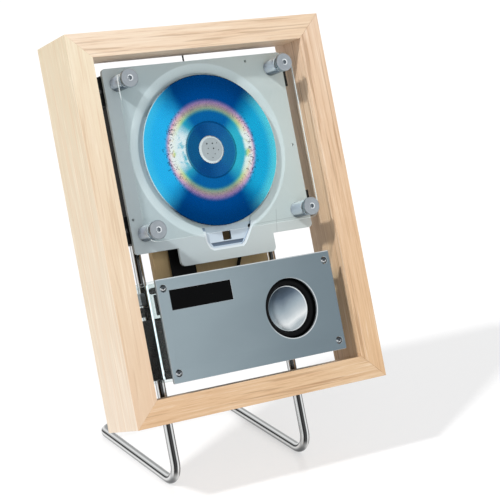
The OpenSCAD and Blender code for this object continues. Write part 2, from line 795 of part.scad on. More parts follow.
module cap(sx, sz) {
    r = cap_d / 2;
    front = cover_front_y - cap_t;
    color("silver") leaned() translate([sx * standoff_x, 0, cover_z + sz * standoff_dz])
        difference() {
            turned(0, 0)
                polygon([[0, front], [r - 0.8, front], [r - 0.25, front + 0.25], [r, front + 0.8],
                    [r, cover_front_y], [stud_r, cover_front_y], [stud_r, cover_back_y + 7.6],
                    [stud_r - 0.4, cover_back_y + 8], [0, cover_back_y + 8]]);
            pin_y(0, 0, 1.7, front - 1, front + 2.4, $fn = 6);
            turned(0, 0) polygon([[0, front - 0.1], [2.4, front - 0.1], [1.5, front + 0.7],
                [0, front + 0.7]]);
        }
}

module cap_top_left() { cap(-1, 1); }
module cap_top_right() { cap(1, 1); }
module cap_bottom_left() { cap(-1, -1); }
module cap_bottom_right() { cap(1, -1); }

// ---------- control module ----------

module control_panel() {
    color("slategray") leaned() difference() {
        slab(panel_front, panel_back)
            rounded(-panel_w / 2, panel_w / 2, panel_z0, panel_z1, 0.8);
        slab(panel_front - 1, panel_back + 1)
            translate([window_x0, window_z1 - window_h]) square([window_w, window_h]);
        pin_y(speaker_x, speaker_z, speaker_hole_d / 2, panel_front - 1, panel_back + 1);
        at_panel_screws() turned(0, 0)
            polygon([[0, panel_front - 1], [2.9, panel_front - 1], [2.9, panel_front],
                [1.6, panel_front + 1.3], [1.6, panel_back + 1], [0, panel_back + 1]]);
    }
}

module panel_screws() {
    color("silver") leaned() at_panel_screws() difference() {
        turned(0, 0)
            polygon([[0, panel_front + 0.1], [2.7, panel_front + 0.1], [1.45, panel_front + 1.35],
                [1.45, carrier_back + 2], [0, carrier_back + 2]]);
        for (a = [0, 90])
            translate([0, panel_front + 0.1, 0]) rotate([0, a, 0])
                translate([-1.5, -1, -0.35]) cube([3, 1.8, 0.7]);
    }
}

module panel_spacers() {
    color([0.12, 0.12, 0.13]) leaned() at_panel_screws() difference() {
        pin_y(0, 0, spacer_r, panel_back, carrier_y);
        pin_y(0, 0, 1.45 + fixed_fit, panel_back - 1, carrier_y + 1);
    }
}

module display_lens() {
    color([0.02, 0.02, 0.03]) leaned() slab(panel_front + 0.4, panel_back)
        translate([window_x0, window_z1 - window_h]) square([window_w, window_h]);
}

module display_module() {
    z0 = window_z1 - window_h - 1.5;
    z1 = window_z1 + 1;
    color([0.08, 0.08, 0.09]) leaned() {
        slab(panel_back, panel_back + 9.6)
            rounded(window_x0 - 0.8, window_x0 + window_w + 1.5, z0, z1, 0.6);
        slab(panel_back + 9.6, carrier_y)
            rounded(window_x0 + 4, window_x0 + window_w - 4, z0 + 2, z1 - 2, 0.6);
        slab(panel_back + 9.6, panel_back + 12)
            rounded(-in_x + 0.5, window_x0 + 4.2, z0, z1 - 2.2, 0.4);
    }
}

// Loudspeaker: pressed basket, rubber roll, metal dish and magnet on one axis
module speaker_basket() {
    color("dimgray") leaned() difference() {
        turned(speaker_x, speaker_z)
            polygon([[24, panel_back], [29, panel_back], [29, panel_back + 1.6],
                [27.4, panel_back + 2.6], [17, magnet_y], [8, magnet_y], [8, magnet_y - 1.2],
                [16.2, magnet_y - 1.2], [26, panel_back + 2.6], [24, panel_back + 2.6]]);
        for (a = [45 : 90 : 315])
            translate([speaker_x, 0, speaker_z]) rotate([0, a, 0])
                block(17, 25, 2.6, magnet_y - 2.4, -7, 7);
    }
}

function roll(r, cy, n) = [for (i = [0 : n]) [21.1 + r * cos(180 * i / n), cy - r * sin(180 * i / n)]];

module speaker_surround() {
    edge = dish_d / 2 + 0.1;
    y = dish_rim;
    outer = roll(2.3, y, 16);
    inner = roll(1.6, y, 16);
    color([0.06, 0.06, 0.06]) leaned() turned(speaker_x, speaker_z)
        polygon(concat([[25.4, y - 0.1], [25.4, y - 0.8], [23.9, y - 0.8], [23.4, y]],
            [for (i = [1 : 15]) outer[i]], [[edge, y], [edge, y + 0.7]],
            [for (i = [16 : -1 : 0]) inner[i] + [0, 0.7]]));
}

dish_rim = panel_front + 5.4;

// The dish's face is part of a sphere through its rim and its deepest point
module speaker_dish() {
    r = dish_d / 2;
    ball = (r * r + dish_depth * dish_depth) / (2 * dish_depth);
    half = asin(r / ball);
    n = 14;
    face = [for (i = [0 : n]) [ball * sin(half * i / n),
        dish_rim + dish_depth - ball * (1 - cos(half * i / n))]];
    color("lightsteelblue") leaned() turned(speaker_x, speaker_z)
        polygon(concat(face, [[r, dish_rim + 0.9], [7.2, dish_rim + dish_depth + 0.3],
            [7.2, magnet_y + 4], [6.6, magnet_y + 4], [6.6, dish_rim + dish_depth + 1],
            [0, dish_rim + dish_depth + 1]]));
}

module speaker_magnet() {
    color("dimgray") leaned() turned(speaker_x, speaker_z)
        polygon([[0, magnet_y - 1.4], [6, magnet_y - 1.4], [6, magnet_y + 7],
            [7.8, magnet_y + 7], [7.8, magnet_y], [magnet_r - 1, magnet_y],
            [magnet_r - 1, magnet_y + 1.6], [magnet_r, magnet_y + 1.6],
            [magnet_r, magnet_y + 8.6], [magnet_r - 1, magnet_y + 8.6],
            [magnet_r - 1, magnet_y + 10], [0, magnet_y + 10]]);
}

module carrier_plate() {
    color([0.85, 0.92, 0.95, 0.5]) leaned() difference() {
        slab(carrier_y, carrier_back) rounded(-in_x, in_x, in_z0, in_z1, 1);
        pin_y(speaker_x, speaker_z, magnet_r + loose_fit, carrier_y - 1, carrier_back + 1);
        at_panel_screws() pin_y(0, 0, 1.45 + fixed_fit, carrier_y - 1, carrier_back + 1);
    }
}

module clear_case() {
    color([0.85, 0.9, 0.92, 0.4]) leaned() difference() {
        union() {
            difference() {
                slab(panel_back, module_back) rounded(-case_x, case_x, case_z0, case_z1, 1.5);
                slab(panel_back - 1, in_back) rounded(-in_x, in_x, in_z0, in_z1, 1);
            }
            for (x = [amp_x0 + 14, amp_x0 + 36], z = [in_z0 + 5, in_z1 - 5])
                pin_y(x, z, 2.5, amp_y + amp_t, in_back + 0.5);
        }
        for (z = button_z) pin_y(button_x, z, button_d / 2 + loose_fit, in_back - 1, module_back + 1);
        pin_y(button_x, power_z, button_d / 2 + loose_fit, in_back - 1, module_back + 1);
        pin_y(jack_x, jack_z, 3 + fixed_fit, in_back - 1, module_back + 1);
        slab(in_back - 1, module_back + 1)
            rounded(jack_x - 2.2, jack_x + 2.2, inlet_z - 5, inlet_z + 5, 2.1);
        block(ribbon_x - ribbon_w / 2 - loose_fit, ribbon_x + ribbon_w / 2 + loose_fit,
            ribbon_y - ribbon_t / 2 - loose_fit, ribbon_y + ribbon_t / 2 + loose_fit,
            in_z1 - 1, case_z1 + 1);
        translate([wire_x1, wire_y, in_z1 - 1])
            cylinder(r = wire_d / 2 + fixed_fit, h = case_t + 2);
    }
}

module battery_box() {
    x1 = speaker_x - magnet_r - 14.5;
    z0 = screw_z0 + spacer_r + 0.8;
    color([0.1, 0.1, 0.11]) leaned() difference() {
        slab(panel_back + 1.6, carrier_y) rounded(-in_x + 0.4, x1, z0, black_top - 2.2, 1.2);
        for (i = [0 : 4])
            block(-in_x + 8 + 14 * i, -in_x + 9.2 + 14 * i, panel_back, panel_back + 2.2, z0 - 1,
                black_top);
    }
}

module amp_box() {
    x1 = speaker_x - magnet_r - 8;
    color([0.07, 0.07, 0.08]) leaned() difference() {
        slab(carrier_back, in_back) rounded(-in_x, x1, in_z0, black_top, 1);
        for (i = [0 : 7])
            block(-in_x + 6 + 5 * i, -in_x + 8 + 5 * i, carrier_back + 5, in_back - 5,
                black_top - 2, black_top + 1);
        at_panel_screws() pin_y(0, 0, 1.8, carrier_back - 1, carrier_back + 3);
    }
}

module amp_board() {
    x0 = amp_x0;
    color("darkgreen") leaned() {
        slab(amp_y, amp_y + amp_t) rounded(x0, in_x - 0.2, in_z0 + 1.5, in_z1 - 1.5, 1);
        for (z = concat(button_z, [power_z])) {
            block(button_x - 3, button_x + 3, amp_y + amp_t, in_back - 6.2, z - 3, z + 3);
            pin_y(button_x, z, 1.6, in_back - 6.2, in_back - 4 - button_travel - 0.1);
        }
        block(x0 + 10, x0 + 22, amp_y - 1.5, amp_y, speaker_z - 6, speaker_z + 6);
        block(wire_x1 - 4, wire_x1 + 4, amp_y + amp_t, wire_y + 2, wire_low - 6, wire_low);
        for (i = [0 : 2]) pin_y(x0 + 12 + 9 * i, in_z0 + 12, 3, amp_y - 6, amp_y);
    }
}

module push_button(z) {
    r = button_d / 2;
    color([0.15, 0.15, 0.16]) leaned() turned(button_x, z)
        polygon([[0, in_back - 4], [2, in_back - 4], [2, in_back - 2], [r + 0.9, in_back - 2],
            [r + 0.9, in_back], [r, in_back], [r, module_back + 1.1], [r - 0.4, module_back + 1.5],
            [0, module_back + 1.5]]);
}

module button_power() { push_button(power_z); }
module button_play() { push_button(button_z[0]); }
module button_next() { push_button(button_z[1]); }
module button_back() { push_button(button_z[2]); }

module power_inlet() {
    color("silver") leaned() difference() {
        slab(in_back - 7, module_back + 0.4)
            rounded(jack_x - 2.18, jack_x + 2.18, inlet_z - 4.98, inlet_z + 4.98, 2.1);
        slab(in_back - 6, module_back + 1)
            rounded(jack_x - 1.7, jack_x + 1.7, inlet_z - 4.5, inlet_z + 4.5, 1.65);
    }
    color("black") leaned() slab(in_back - 6.2, module_back - 0.8)
        rounded(jack_x - 0.35, jack_x + 0.35, inlet_z - 3.3, inlet_z + 3.3, 0.3);
}

module audio_jack() {
    color("black") leaned() difference() {
        union() {
            block(jack_x - 3.4, jack_x + 3.4, in_back - 12, in_back, jack_z - 4.4 + 0.6,
                jack_z + 4.4 - 0.6);
            pin_y(jack_x, jack_z, 3, in_back - 1, module_back + 0.8);
        }
        pin_y(jack_x, jack_z, 1.8, in_back - 11, module_back + 1);
    }
}

// ---------- cables ----------

module ribbon_cable() {
    color([0.05, 0.05, 0.05]) leaned()
        block(ribbon_x - ribbon_w / 2, ribbon_x + ribbon_w / 2, ribbon_y - ribbon_t / 2,
            ribbon_y + ribbon_t / 2, black_top, ribbon_top);
}

// Straight stretches of wire joined by balls a hair wider than the wire
ball_over = 0.05;

module wire_path(points, r) {
    for (i = [0 : len(points) - 2]) {
        v = points[i + 1] - points[i];
        translate(points[i]) rotate([0, acos(v[2] / norm(v)), atan2(v[1], v[0])])
            cylinder(r = r, h = norm(v));
        if (i > 0) translate(points[i]) sphere(r = r + ball_over);
    }
}

module signal_wire() {
    kink0 = tab_z0 + 10.4;
    kink1 = kink0 - 2 * (wire_x0 - wire_x1);
    color([0.04, 0.04, 0.04]) leaned()
        wire_path([[wire_x0, wire_y, chassis_z0 + 8], [wire_x0, wire_y, kink0],
            [wire_x1, wire_y, kink1], [wire_x1, wire_y, wire_low]], wire_d / 2);
}

module tie_cord() {
    color([0.04, 0.04, 0.04]) leaned() {
        translate([0, cord_y, chassis_z1 - wall - 2])
            cylinder(r = cord_d / 2, h = ceiling_z - 0.3 - chassis_z1 + wall + 2);
        translate([0, cord_y, chassis_z1 - wall - 1.5]) sphere(r = 1.5);
    }
}

module cord_ferrule() {
    color("goldenrod") leaned() translate([0, cord_y, ceiling_z - 2.4]) difference() {
        union() {
            cylinder(r = 1.45, h = 2.4);
            translate([0, 0, 1.6]) cylinder(r = 1.55, h = 0.8);
        }
        translate([0, 0, -1]) cylinder(r = cord_d / 2 + fixed_fit, h = 4);
    }
}

frame_left_stile();
frame_right_stile();
frame_top_rail();
frame_bottom_rail();
hanger_plates();
hanger_screws();
wire_stand();
rod_saddles();
saddle_screws();
back_board();
board_screws();
rod_blocks();
block_screws();
deck_plate();
drive_chassis();
side_brackets();
mech_plate();
guide_rods();
lead_screw();
sled_motor();
pickup_sled();
pickup_lens();
spindle_motor();
turntable();
disc();
disc_clamp();
drive_board();
standoff_barrels();
clear_cover();
cap_top_left();
cap_top_right();
cap_bottom_left();
cap_bottom_right();
control_panel();
panel_screws();
panel_spacers();
display_lens();
display_module();
speaker_basket();
speaker_surround();
speaker_dish();
speaker_magnet();
carrier_plate();
clear_case();
battery_box();
amp_box();
amp_board();
button_power();
button_play();
button_next();
button_back();
power_inlet();
audio_jack();
ribbon_cable();
signal_wire();
tie_cord();
cord_ferrule();
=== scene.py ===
"""Looks of the framed disc player: its finishes, its detailed pieces, the light and the camera."""

import math

import bmesh
import bpy
from mathutils import Matrix, Vector


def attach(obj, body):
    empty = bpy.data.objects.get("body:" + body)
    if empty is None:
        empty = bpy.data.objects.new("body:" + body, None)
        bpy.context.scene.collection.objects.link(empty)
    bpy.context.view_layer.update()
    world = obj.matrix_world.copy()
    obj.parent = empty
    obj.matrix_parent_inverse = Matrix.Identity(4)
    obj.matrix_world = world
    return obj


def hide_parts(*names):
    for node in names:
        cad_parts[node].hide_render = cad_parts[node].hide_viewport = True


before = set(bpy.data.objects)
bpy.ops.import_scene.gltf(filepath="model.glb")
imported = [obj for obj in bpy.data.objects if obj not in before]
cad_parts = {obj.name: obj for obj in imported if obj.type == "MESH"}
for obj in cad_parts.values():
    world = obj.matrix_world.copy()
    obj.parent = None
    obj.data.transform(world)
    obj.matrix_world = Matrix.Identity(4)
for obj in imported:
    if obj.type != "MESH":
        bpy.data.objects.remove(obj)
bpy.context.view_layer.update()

# ---------- the frame's own axes, in mm: x right, y into the frame, z up along it ----------

LEAN = math.radians(22.5)
BASE_Z = 72.8379
CENTRE_Y = 81.7722
MM = Matrix.Scale(0.001, 4)
TO_WORLD = (
    Matrix.Translation((0, -CENTRE_Y / 1000, BASE_Z / 1000)) @ Matrix.Rotation(-LEAN, 4, "X") @ MM
)

FRAME_W, FRAME_H = 228.0, 299.0
DECK_Y = 15.3
DISC_Z, DISC_R, DISC_HOLE_R = 201.0, 60.0, 7.5
DISC_FRONT, DISC_REAR = 12.6, 13.8
COVER_FRONT, COVER_BACK = -3.5, -0.5
COVER_W, COVER_H, COVER_Z = 157.0, 134.0, 202.4
STANDOFF_X, STANDOFF_Z = 69.8, 58.3
BARREL_R, BARREL_BORE_R, BARREL_BORE = 6.4, 2.6, 6.0
CAP_R, CAP_T, STUD_R, STUD = 7.2, 4.0, 2.5, 8.0
PANEL_FRONT, PANEL_BACK = -3.6, -1.6
PANEL_W, PANEL_Z0, PANEL_Z1 = 158.0, 28.0, 107.4
SCREW_X, SCREW_Z0, SCREW_Z1 = 73.4, 35.4, 100.0
SPEAKER_X, SPEAKER_Z, SPEAKER_HOLE_R = 35.2, 67.7, 23.6
DISH_RIM, DISH_R, DISH_DEEP = 1.8, 17.9, 6.6
ROD_R, ROD_X, ROD_Y = 3.8, 61.0, 53.9
CABLE_Y, WIRE_Y, TIE_Y = 39.0, 38.0, 29.6

# The direction, fixed on the object, that runs level from left to right in the photograph: it is
# that camera's right-hand direction. The chrome's bands are painted along it.
PHOTO_RIGHT = (0.84, -0.54, 0.0)

# The side and the height of each standoff, seen from the front
CORNERS = {
    "top_left": (-1, 1),
    "top_right": (1, 1),
    "bottom_left": (-1, -1),
    "bottom_right": (1, -1),
}


def colour(text, alpha=1.0):
    """A colour as it looks on a screen, such as "E8CFAE", in the shader's own scale."""
    parts = [int(text[i : i + 2], 16) / 255 for i in (0, 2, 4)]
    scaled = (c / 12.92 if c < 0.04045 else ((c + 0.055) / 1.055) ** 2.4 for c in parts)
    return (*scaled, alpha)


# ---------- shader maths ----------


class Value:
    """A socket of a finish. Sums, products and the like with it add Math nodes."""

    def __init__(self, finish, socket):
        self.finish, self.socket = finish, socket

    def maths(self, operation, *others):
        sockets = {i: v for i, v in enumerate((self, *others))}
        return self.finish.node("ShaderNodeMath", sockets, operation=operation)

    def __add__(self, other):
        return self.maths("ADD", other)

    __radd__ = __add__

    def __sub__(self, other):
        return self.maths("SUBTRACT", other)

    def __rsub__(self, other):
        return self.finish.node("ShaderNodeMath", {0: other, 1: self}, operation="SUBTRACT")

    def __mul__(self, other):
        return self.maths("MULTIPLY", other)

    __rmul__ = __mul__

    def __truediv__(self, other):
        return self.maths("DIVIDE", other)

    def __pow__(self, other):
        return self.maths("POWER", other)

    def __lt__(self, other):
        return self.maths("LESS_THAN", other)

    def __gt__(self, other):
        return self.maths("GREATER_THAN", other)

    def __abs__(self):
        return self.maths("ABSOLUTE")

    def low(self, other):
        return self.maths("MINIMUM", other)

    def high(self, other):
        return self.maths("MAXIMUM", other)

    def sine(self):
        return self.maths("SINE")

    def root(self):
        return self.maths("SQRT")

    def angle(self, across):
        """The angle in radians of a point that lies self up and across to the right."""
        return self.maths("ARCTAN2", across)

    def soft(self, start, end):
        """0 below start, 1 above end and a smooth rise between them."""
        return self.finish.node(
            "ShaderNodeMapRange",
            {0: self, 1: start, 2: end, 3: 0.0, 4: 1.0},
            interpolation_type="SMOOTHSTEP",
        )


class Finish:
    """One procedural material, or the sky's light. A colour may be written as its hex text."""

    def __init__(self, name, sky=False):
        self.material = (bpy.data.worlds if sky else bpy.data.materials).new(name)
        self.material.use_nodes = True
        self.tree = self.material.node_tree
        self.tree.nodes.clear()
        self.end = self.tree.nodes.new(f"ShaderNodeOutput{'World' if sky else 'Material'}")
        self.parts = None

    def node(self, kind, sockets=None, out=0, stops=None, **settings):
        n = self.tree.nodes.new(kind)
        for key, value in settings.items():
            setattr(n, key, value)
        if stops:
            ramp = n.color_ramp.elements
            while len(ramp) < len(stops):
                ramp.new(0.5)
            for element, (position, shade) in zip(ramp, stops):
                element.position = position
                element.color = colour(shade) if isinstance(shade, str) else shade
        for key, value in (sockets or {}).items():
            if isinstance(value, Value):
                self.tree.links.new(value.socket, n.inputs[key])
            else:
                n.inputs[key].default_value = colour(value) if isinstance(value, str) else value
        return Value(self, n.outputs[out])

    def at(self, scale=(1, 1, 1), turn=(0, 0, 0), shift=(0, 0, 0)):
        """The place on the piece in the frame's axes, in mm, then scaled, turned and shifted."""
        origin = (
            0,
            CENTRE_Y * math.cos(LEAN) + BASE_Z * math.sin(LEAN),
            CENTRE_Y * math.sin(LEAN) - BASE_Z * math.cos(LEAN),
        )
        place = self.node("ShaderNodeTexCoord", out=3)
        upright = {0: place, 1: origin, 2: (LEAN, 0, 0), 3: (1000, 1000, 1000)}
        own = self.node("ShaderNodeMapping", upright)
        return self.node("ShaderNodeMapping", {0: own, 1: shift, 2: turn, 3: scale})

    def axes(self):
        if self.parts is None:
            split = self.node("ShaderNodeSeparateXYZ", {0: self.at()})
            outs = split.socket.node.outputs
            self.parts = [Value(self, outs[i]) for i in range(3)]
        return self.parts

    def around(self, x, z):
        """How far right of, above and away from the line along y through x and z a point is."""
        own_x, _, own_z = self.axes()
        right, up = own_x - x, own_z - z
        return right, up, (right * right + up * up).root()

    def noise(self, scale, detail=3.0, stretch=(1, 1, 1), shift=(0, 0, 0), rough=0.5, twist=0.0):
        """Noise in mm: scale is the number of features to a millimetre."""
        return self.node(
            "ShaderNodeTexNoise",
            {
                "Vector": self.at(scale=stretch, shift=shift),
                "Scale": scale,
                "Detail": detail,
                "Roughness": rough,
                "Distortion": twist,
            },
        )

    def ramp(self, value, stops):
        return self.node("ShaderNodeValToRGB", {0: value}, stops=stops)

    def mix(self, amount, a, b):
        return self.node("ShaderNodeMix", {0: amount, 6: a, 7: b}, out=2, data_type="RGBA")

    def bump(self, height, strength, distance=0.0001):
        return self.node(
            "ShaderNodeBump", {"Strength": strength, "Distance": distance, "Height": height}
        )

    def seen(self):
        """1 where the eye, a reflection or a clear piece looks on, and 0 for the light itself."""
        path = self.node("ShaderNodeLightPath").socket.node.outputs
        eye, mirrored, through = (Value(self, path[i]) for i in (0, 3, 6))
        return eye.high(mirrored).high(through)

    def shader(self, sockets):
        """A Principled shader. Underscores stand for spaces."""
        named = {key.replace("_", " "): value for key, value in sockets.items()}
        return self.node("ShaderNodeBsdfPrincipled", named)

    def ends_in(self, shader):
        self.tree.links.new(shader.socket, self.end.inputs[0])
        return self.material

    def surface(self, **sockets):
        """Ends the finish in one solid surface."""
        return self.ends_in(self.shader(sockets))

    def through(self, clear, amount, **sockets):
        """Ends the finish in a surface of that amount over see-through plastic."""
        open_part = self.node("ShaderNodeBsdfTransparent", {0: clear})
        both = {0: amount, 1: open_part, 2: self.shader(sockets)}
        return self.ends_in(self.node("ShaderNodeMixShader", both))


# ---------- finishes ----------


def pale_wood(name, along, shift, start, end, streak, dark, side=None):
    """Pale wood. along is the axis the grain follows: "x" or "z". The tone runs from start, at
    the left or below, to end, as painted light and shade along the piece. side is the tone at
    the foot of the outer side that looks left, painted light on that side."""
    f = Finish(name)
    thin, slow = (0.03, 1, 1), (0.12, 1, 1)
    if along == "z":
        thin, slow = thin[::-1], slow[::-1]
    broad = f.noise(0.035, 2.0, slow, shift, 0.5, 0.6)
    x, y, z = f.axes()
    across, way = (z, x / FRAME_W + 0.5) if along == "x" else (x, z / FRAME_H)
    rings = ((across * 1.1 + y * 0.75 + broad * 30.0).sine() * 0.5 + 0.5) ** 1.6
    grain = f.noise(0.55, 4.0, thin, shift, 0.7, 0.4)
    hair = f.noise(0.62, 2.0, (thin[0] * 0.6, 1, thin[2] * 0.6), (shift[2], 9, shift[0]), 0.5, 0.5)
    fibre = f.noise(2.2, 3.0, thin, shift, 0.65)
    # Painted light and shade along the piece: the tone runs from start to end.
    base = f.mix(way + broad * 0.8 - 0.4, start, end)
    # Painted light on the outer left side: from side at its foot to D3C5A9 higher up.
    if side:
        outer = (x < 0.3 - FRAME_W / 2) * (y > 0.4)
        base = f.mix(outer, base, f.mix(way + broad * 0.6 - 0.3, side, "D3C5A9"))
    ringed = f.mix(rings * 0.10, base, streak)
    streaked = f.mix(grain.soft(0.50, 0.66) * 0.50, ringed, streak)
    lit = f.mix((1 - grain.soft(0.32, 0.47)) * 0.36, streaked, "FCEEDB")
    haired = f.mix(hair.soft(0.60, 0.68) * 0.45, lit, dark)
    return f.surface(
        Base_Color=f.mix(fibre.soft(0.45, 0.75) * 0.12, haired, streak),
        Roughness=0.46 + fibre * 0.14,
        IOR=1.45,
        Coat_Weight=0.06,
        Coat_Roughness=0.4,
        Normal=f.bump(fibre * 0.6 + grain * 0.6, 0.35, 0.00012),
    )


def tan_board():
    f = Finish("tan_board")
    broad = f.noise(0.06, 3.0, (1, 1, 0.15))
    fibre = f.noise(1.8, 3.0, (1, 1, 0.04))
    return f.surface(
        Base_Color=f.mix(fibre * 0.5, f.mix(broad, "F4DDB0", "DDBE8C"), "BE9A66"),
        Roughness=0.6 + fibre * 0.15,
        Normal=f.bump(fibre, 0.25),
    )


def chrome(name, across, up, rough=0.10, floor=None, metallic=1.0):
    """Polished chrome. The bands that it would mirror are painted on, by the way the surface
    faces: from left to right of the photograph round an upright form, and from below to above
    round a lying one. A rod lies where it is lower than floor, in mm."""
    f = Finish(name)
    cloud = f.noise(0.05, 2.0)
    normal = f.node("ShaderNodeTexCoord", out=1)

    def towards(direction):
        dot = {0: normal, 1: direction}
        return f.node("ShaderNodeVectorMath", dot, 1, operation="DOT_PRODUCT") * 0.5 + 0.5

    upright = f.ramp(towards(PHOTO_RIGHT) + cloud * 0.02, across)
    if floor:
        height = f.node("ShaderNodeSeparateXYZ", {0: f.node("ShaderNodeTexCoord", out=3)}, 2)
        lies = 1 - (height * 1000).soft(floor, floor + 7.0)
        lying = f.ramp(towards((0.46, 0.15, 0.87)), up)
    else:
        lies = abs(towards((0.0, -0.3, 0.95)) * 2 - 1).soft(0.42, 0.60)
        lying = f.ramp(towards((0.0, -0.3, 0.95)), up)
    return f.surface(
        Base_Color=f.mix(lies, upright, lying),
        Metallic=metallic,
        Roughness=rough + cloud * 0.06,
        Normal=f.bump(f.noise(3.0, 2.0, (1, 1, 0.05)), 0.04, 0.00002),
    )


def metal(name, light, dark, rough, grain=2.0, bump=0.08):
    f = Finish(name)
    cloud = f.noise(0.12, 3.0)
    fine = f.noise(grain, 2.0)
    return f.surface(
        Base_Color=f.mix(cloud * 0.6 + fine * 0.4, light, dark),
        Metallic=1.0,
        Roughness=rough + fine * 0.12,
        Normal=f.bump(fine, bump, 0.00003),
    )


def plastic(name, light, dark, rough, grain=1.6, bump=0.12, shine=0.15):
    f = Finish(name)
    cloud = f.noise(0.07, 3.0)
    fine = f.noise(grain, 2.0)
    return f.surface(
        Base_Color=f.mix(cloud, light, dark),
        Roughness=rough + fine * 0.14,
        Specular_IOR_Level=shine,
        Normal=f.bump(fine, bump, 0.00003),
    )


def deck_grey():
    """Light grey satin paint with painted light: a little lighter to the right, and brighter and
    bluer on the slope to the recess. The seams below it are drawn fine, and the finger notch
    is painted light and shade by its depth."""
    f = Finish("deck_grey")
    x, y, z = f.axes()
    _, up, radius = f.around(0.0, DISC_Z)
    # Painted light: the deck a little lighter to the right, and the slope to the recess brighter
    # and bluer, most on the left.
    slope = radius.soft(60.0, 62.5) * (1 - radius.soft(68.6, 70.2))
    cloud = f.noise(0.03, 3.0)
    fine = f.noise(3.2, 2.0)
    side = (x * 0.006 - up * 0.001 + 0.5 + cloud * 0.3 - 0.15).soft(0.0, 1.0)
    lit = f.mix(slope * (0.95 - side * 0.55), f.mix(side, "B7C3C7", "C8CFCD"), "DDE8EB")
    upright = (1 - abs(x - 47.0 - (z - 129.0) * 0.172).soft(0.1, 0.32)) * (z < 147.5)
    level = (1 - abs(z - 137.6 - x * 0.02).soft(0.08, 0.28)) * (x > 27.0)
    seams = upright.high(level)
    # The finger notch, painted light and shade by its depth: light on its step and its floor, dark
    # on the walls between and in the deeper cut below.
    notch = (x > -19.2) * ((x - (z - 126.0) * 0.73) < 19.5) * (z < 141.5) * (y > DECK_Y + 0.2)
    steps = f.ramp(
        (y - DECK_Y) / 4.0,
        [
            (0.10, "E2E9ED"),
            (0.20, "E2E9ED"),
            (0.24, "8494A6"),
            (0.58, "93A3B5"),
            (0.61, "CEDBE6"),
            (0.68, "CEDBE6"),
            (0.72, "66788C"),
            (1.00, "5B6C80"),
        ],
    )
    return f.surface(
        Base_Color=f.mix(notch, f.mix(seams * 0.5, lit, "7B8484"), steps),
        Roughness=0.40 + fine * 0.10,
        Coat_Weight=0.12,
        Coat_Roughness=0.25,
        Normal=f.bump(fine * 0.3 - seams * 3.0, 0.10, 0.0001),
    )


def anodised_panel():
    """Blue-grey anodised sheet with a very fine blasted grain, and painted light: a little lighter
    to the left, with painted highlights along the top edge and round the loudspeaker's
    opening, most on its lower right."""
    f = Finish("anodised_panel")
    x, _, z = f.axes()
    cloud = f.noise(0.02, 3.0, (1, 1, 1.6))
    fine = f.noise(4.5, 2.0)
    # Painted light: a little lighter to the left.
    side = (x * 0.0058 - (z - 68) * 0.002 + 0.5 + cloud * 0.24 - 0.12).soft(0.0, 1.0)
    # Painted highlights: a thin bright line round the loudspeaker's opening, most on its lower
    # right, and one along the top edge.
    right, up, radius = f.around(SPEAKER_X, SPEAKER_Z)
    ring = radius.soft(SPEAKER_HOLE_R - 0.2, SPEAKER_HOLE_R + 0.1)
    ring = ring * (1 - radius.soft(SPEAKER_HOLE_R + 0.6, SPEAKER_HOLE_R + 1.0))
    ring = ring * (right - up).soft(-24.0, 12.0)
    rim = z.soft(PANEL_Z1 - 0.9, PANEL_Z1 - 0.5)
    return f.surface(
        Base_Color=f.mix(ring.high(rim) * 0.75, f.mix(side, "97A6AD", "76858D"), "E3E9EB"),
        Metallic=0.85,
        Roughness=0.40 + fine * 0.10,
        Normal=f.bump(fine, 0.10, 0.00002),
    )


def spun_dish():
    """Bright spun metal: fine turning rings round the dish's own axis. Its light and dark are
    painted on: dark where the hollow looks down and bright where it looks up, with a painted
    highlight along its rim."""
    f = Finish("spun_dish")
    right, up, radius = f.around(SPEAKER_X, SPEAKER_Z)
    rings = (radius * 9.0).sine() * 0.5 + 0.5
    cloud = f.noise(0.08, 2.0)
    height = (up - right * 0.25 - abs(right) * 0.30 + cloud * 4 - 0.5) / 32 + 0.5
    tone = f.ramp(
        height,
        [
            (0.00, "B4BEC3"),
            (0.14, "EEF2F3"),
            (0.30, "C3CCD1"),
            (0.50, "9DABB4"),
            (0.66, "75838F"),
            (0.80, "4B5968"),
            (0.97, "36424F"),
        ],
    )
    # A painted highlight along the rim.
    rimmed = f.mix(radius.soft(DISH_R - 0.8, DISH_R - 0.4) * 0.8, tone, "EEF3F5")
    return f.surface(
        Base_Color=f.mix(rings * 0.12, rimmed, "8B979E"),
        Metallic=1.0,
        Roughness=0.26 + rings * 0.05,
        Normal=f.bump(rings, 0.06, 0.00002),
    )


def turned_silver():
    f = Finish("turned_silver")
    cloud = f.noise(0.3, 2.0)
    fine = f.noise(2.5, 2.0, (1, 6, 1))
    return f.surface(
        Base_Color=f.mix(cloud, "A9B0B6", "929AA1"),
        Metallic=1.0,
        Roughness=0.26 + fine * 0.10,
        Normal=f.bump(fine, 0.06, 0.00002),
    )


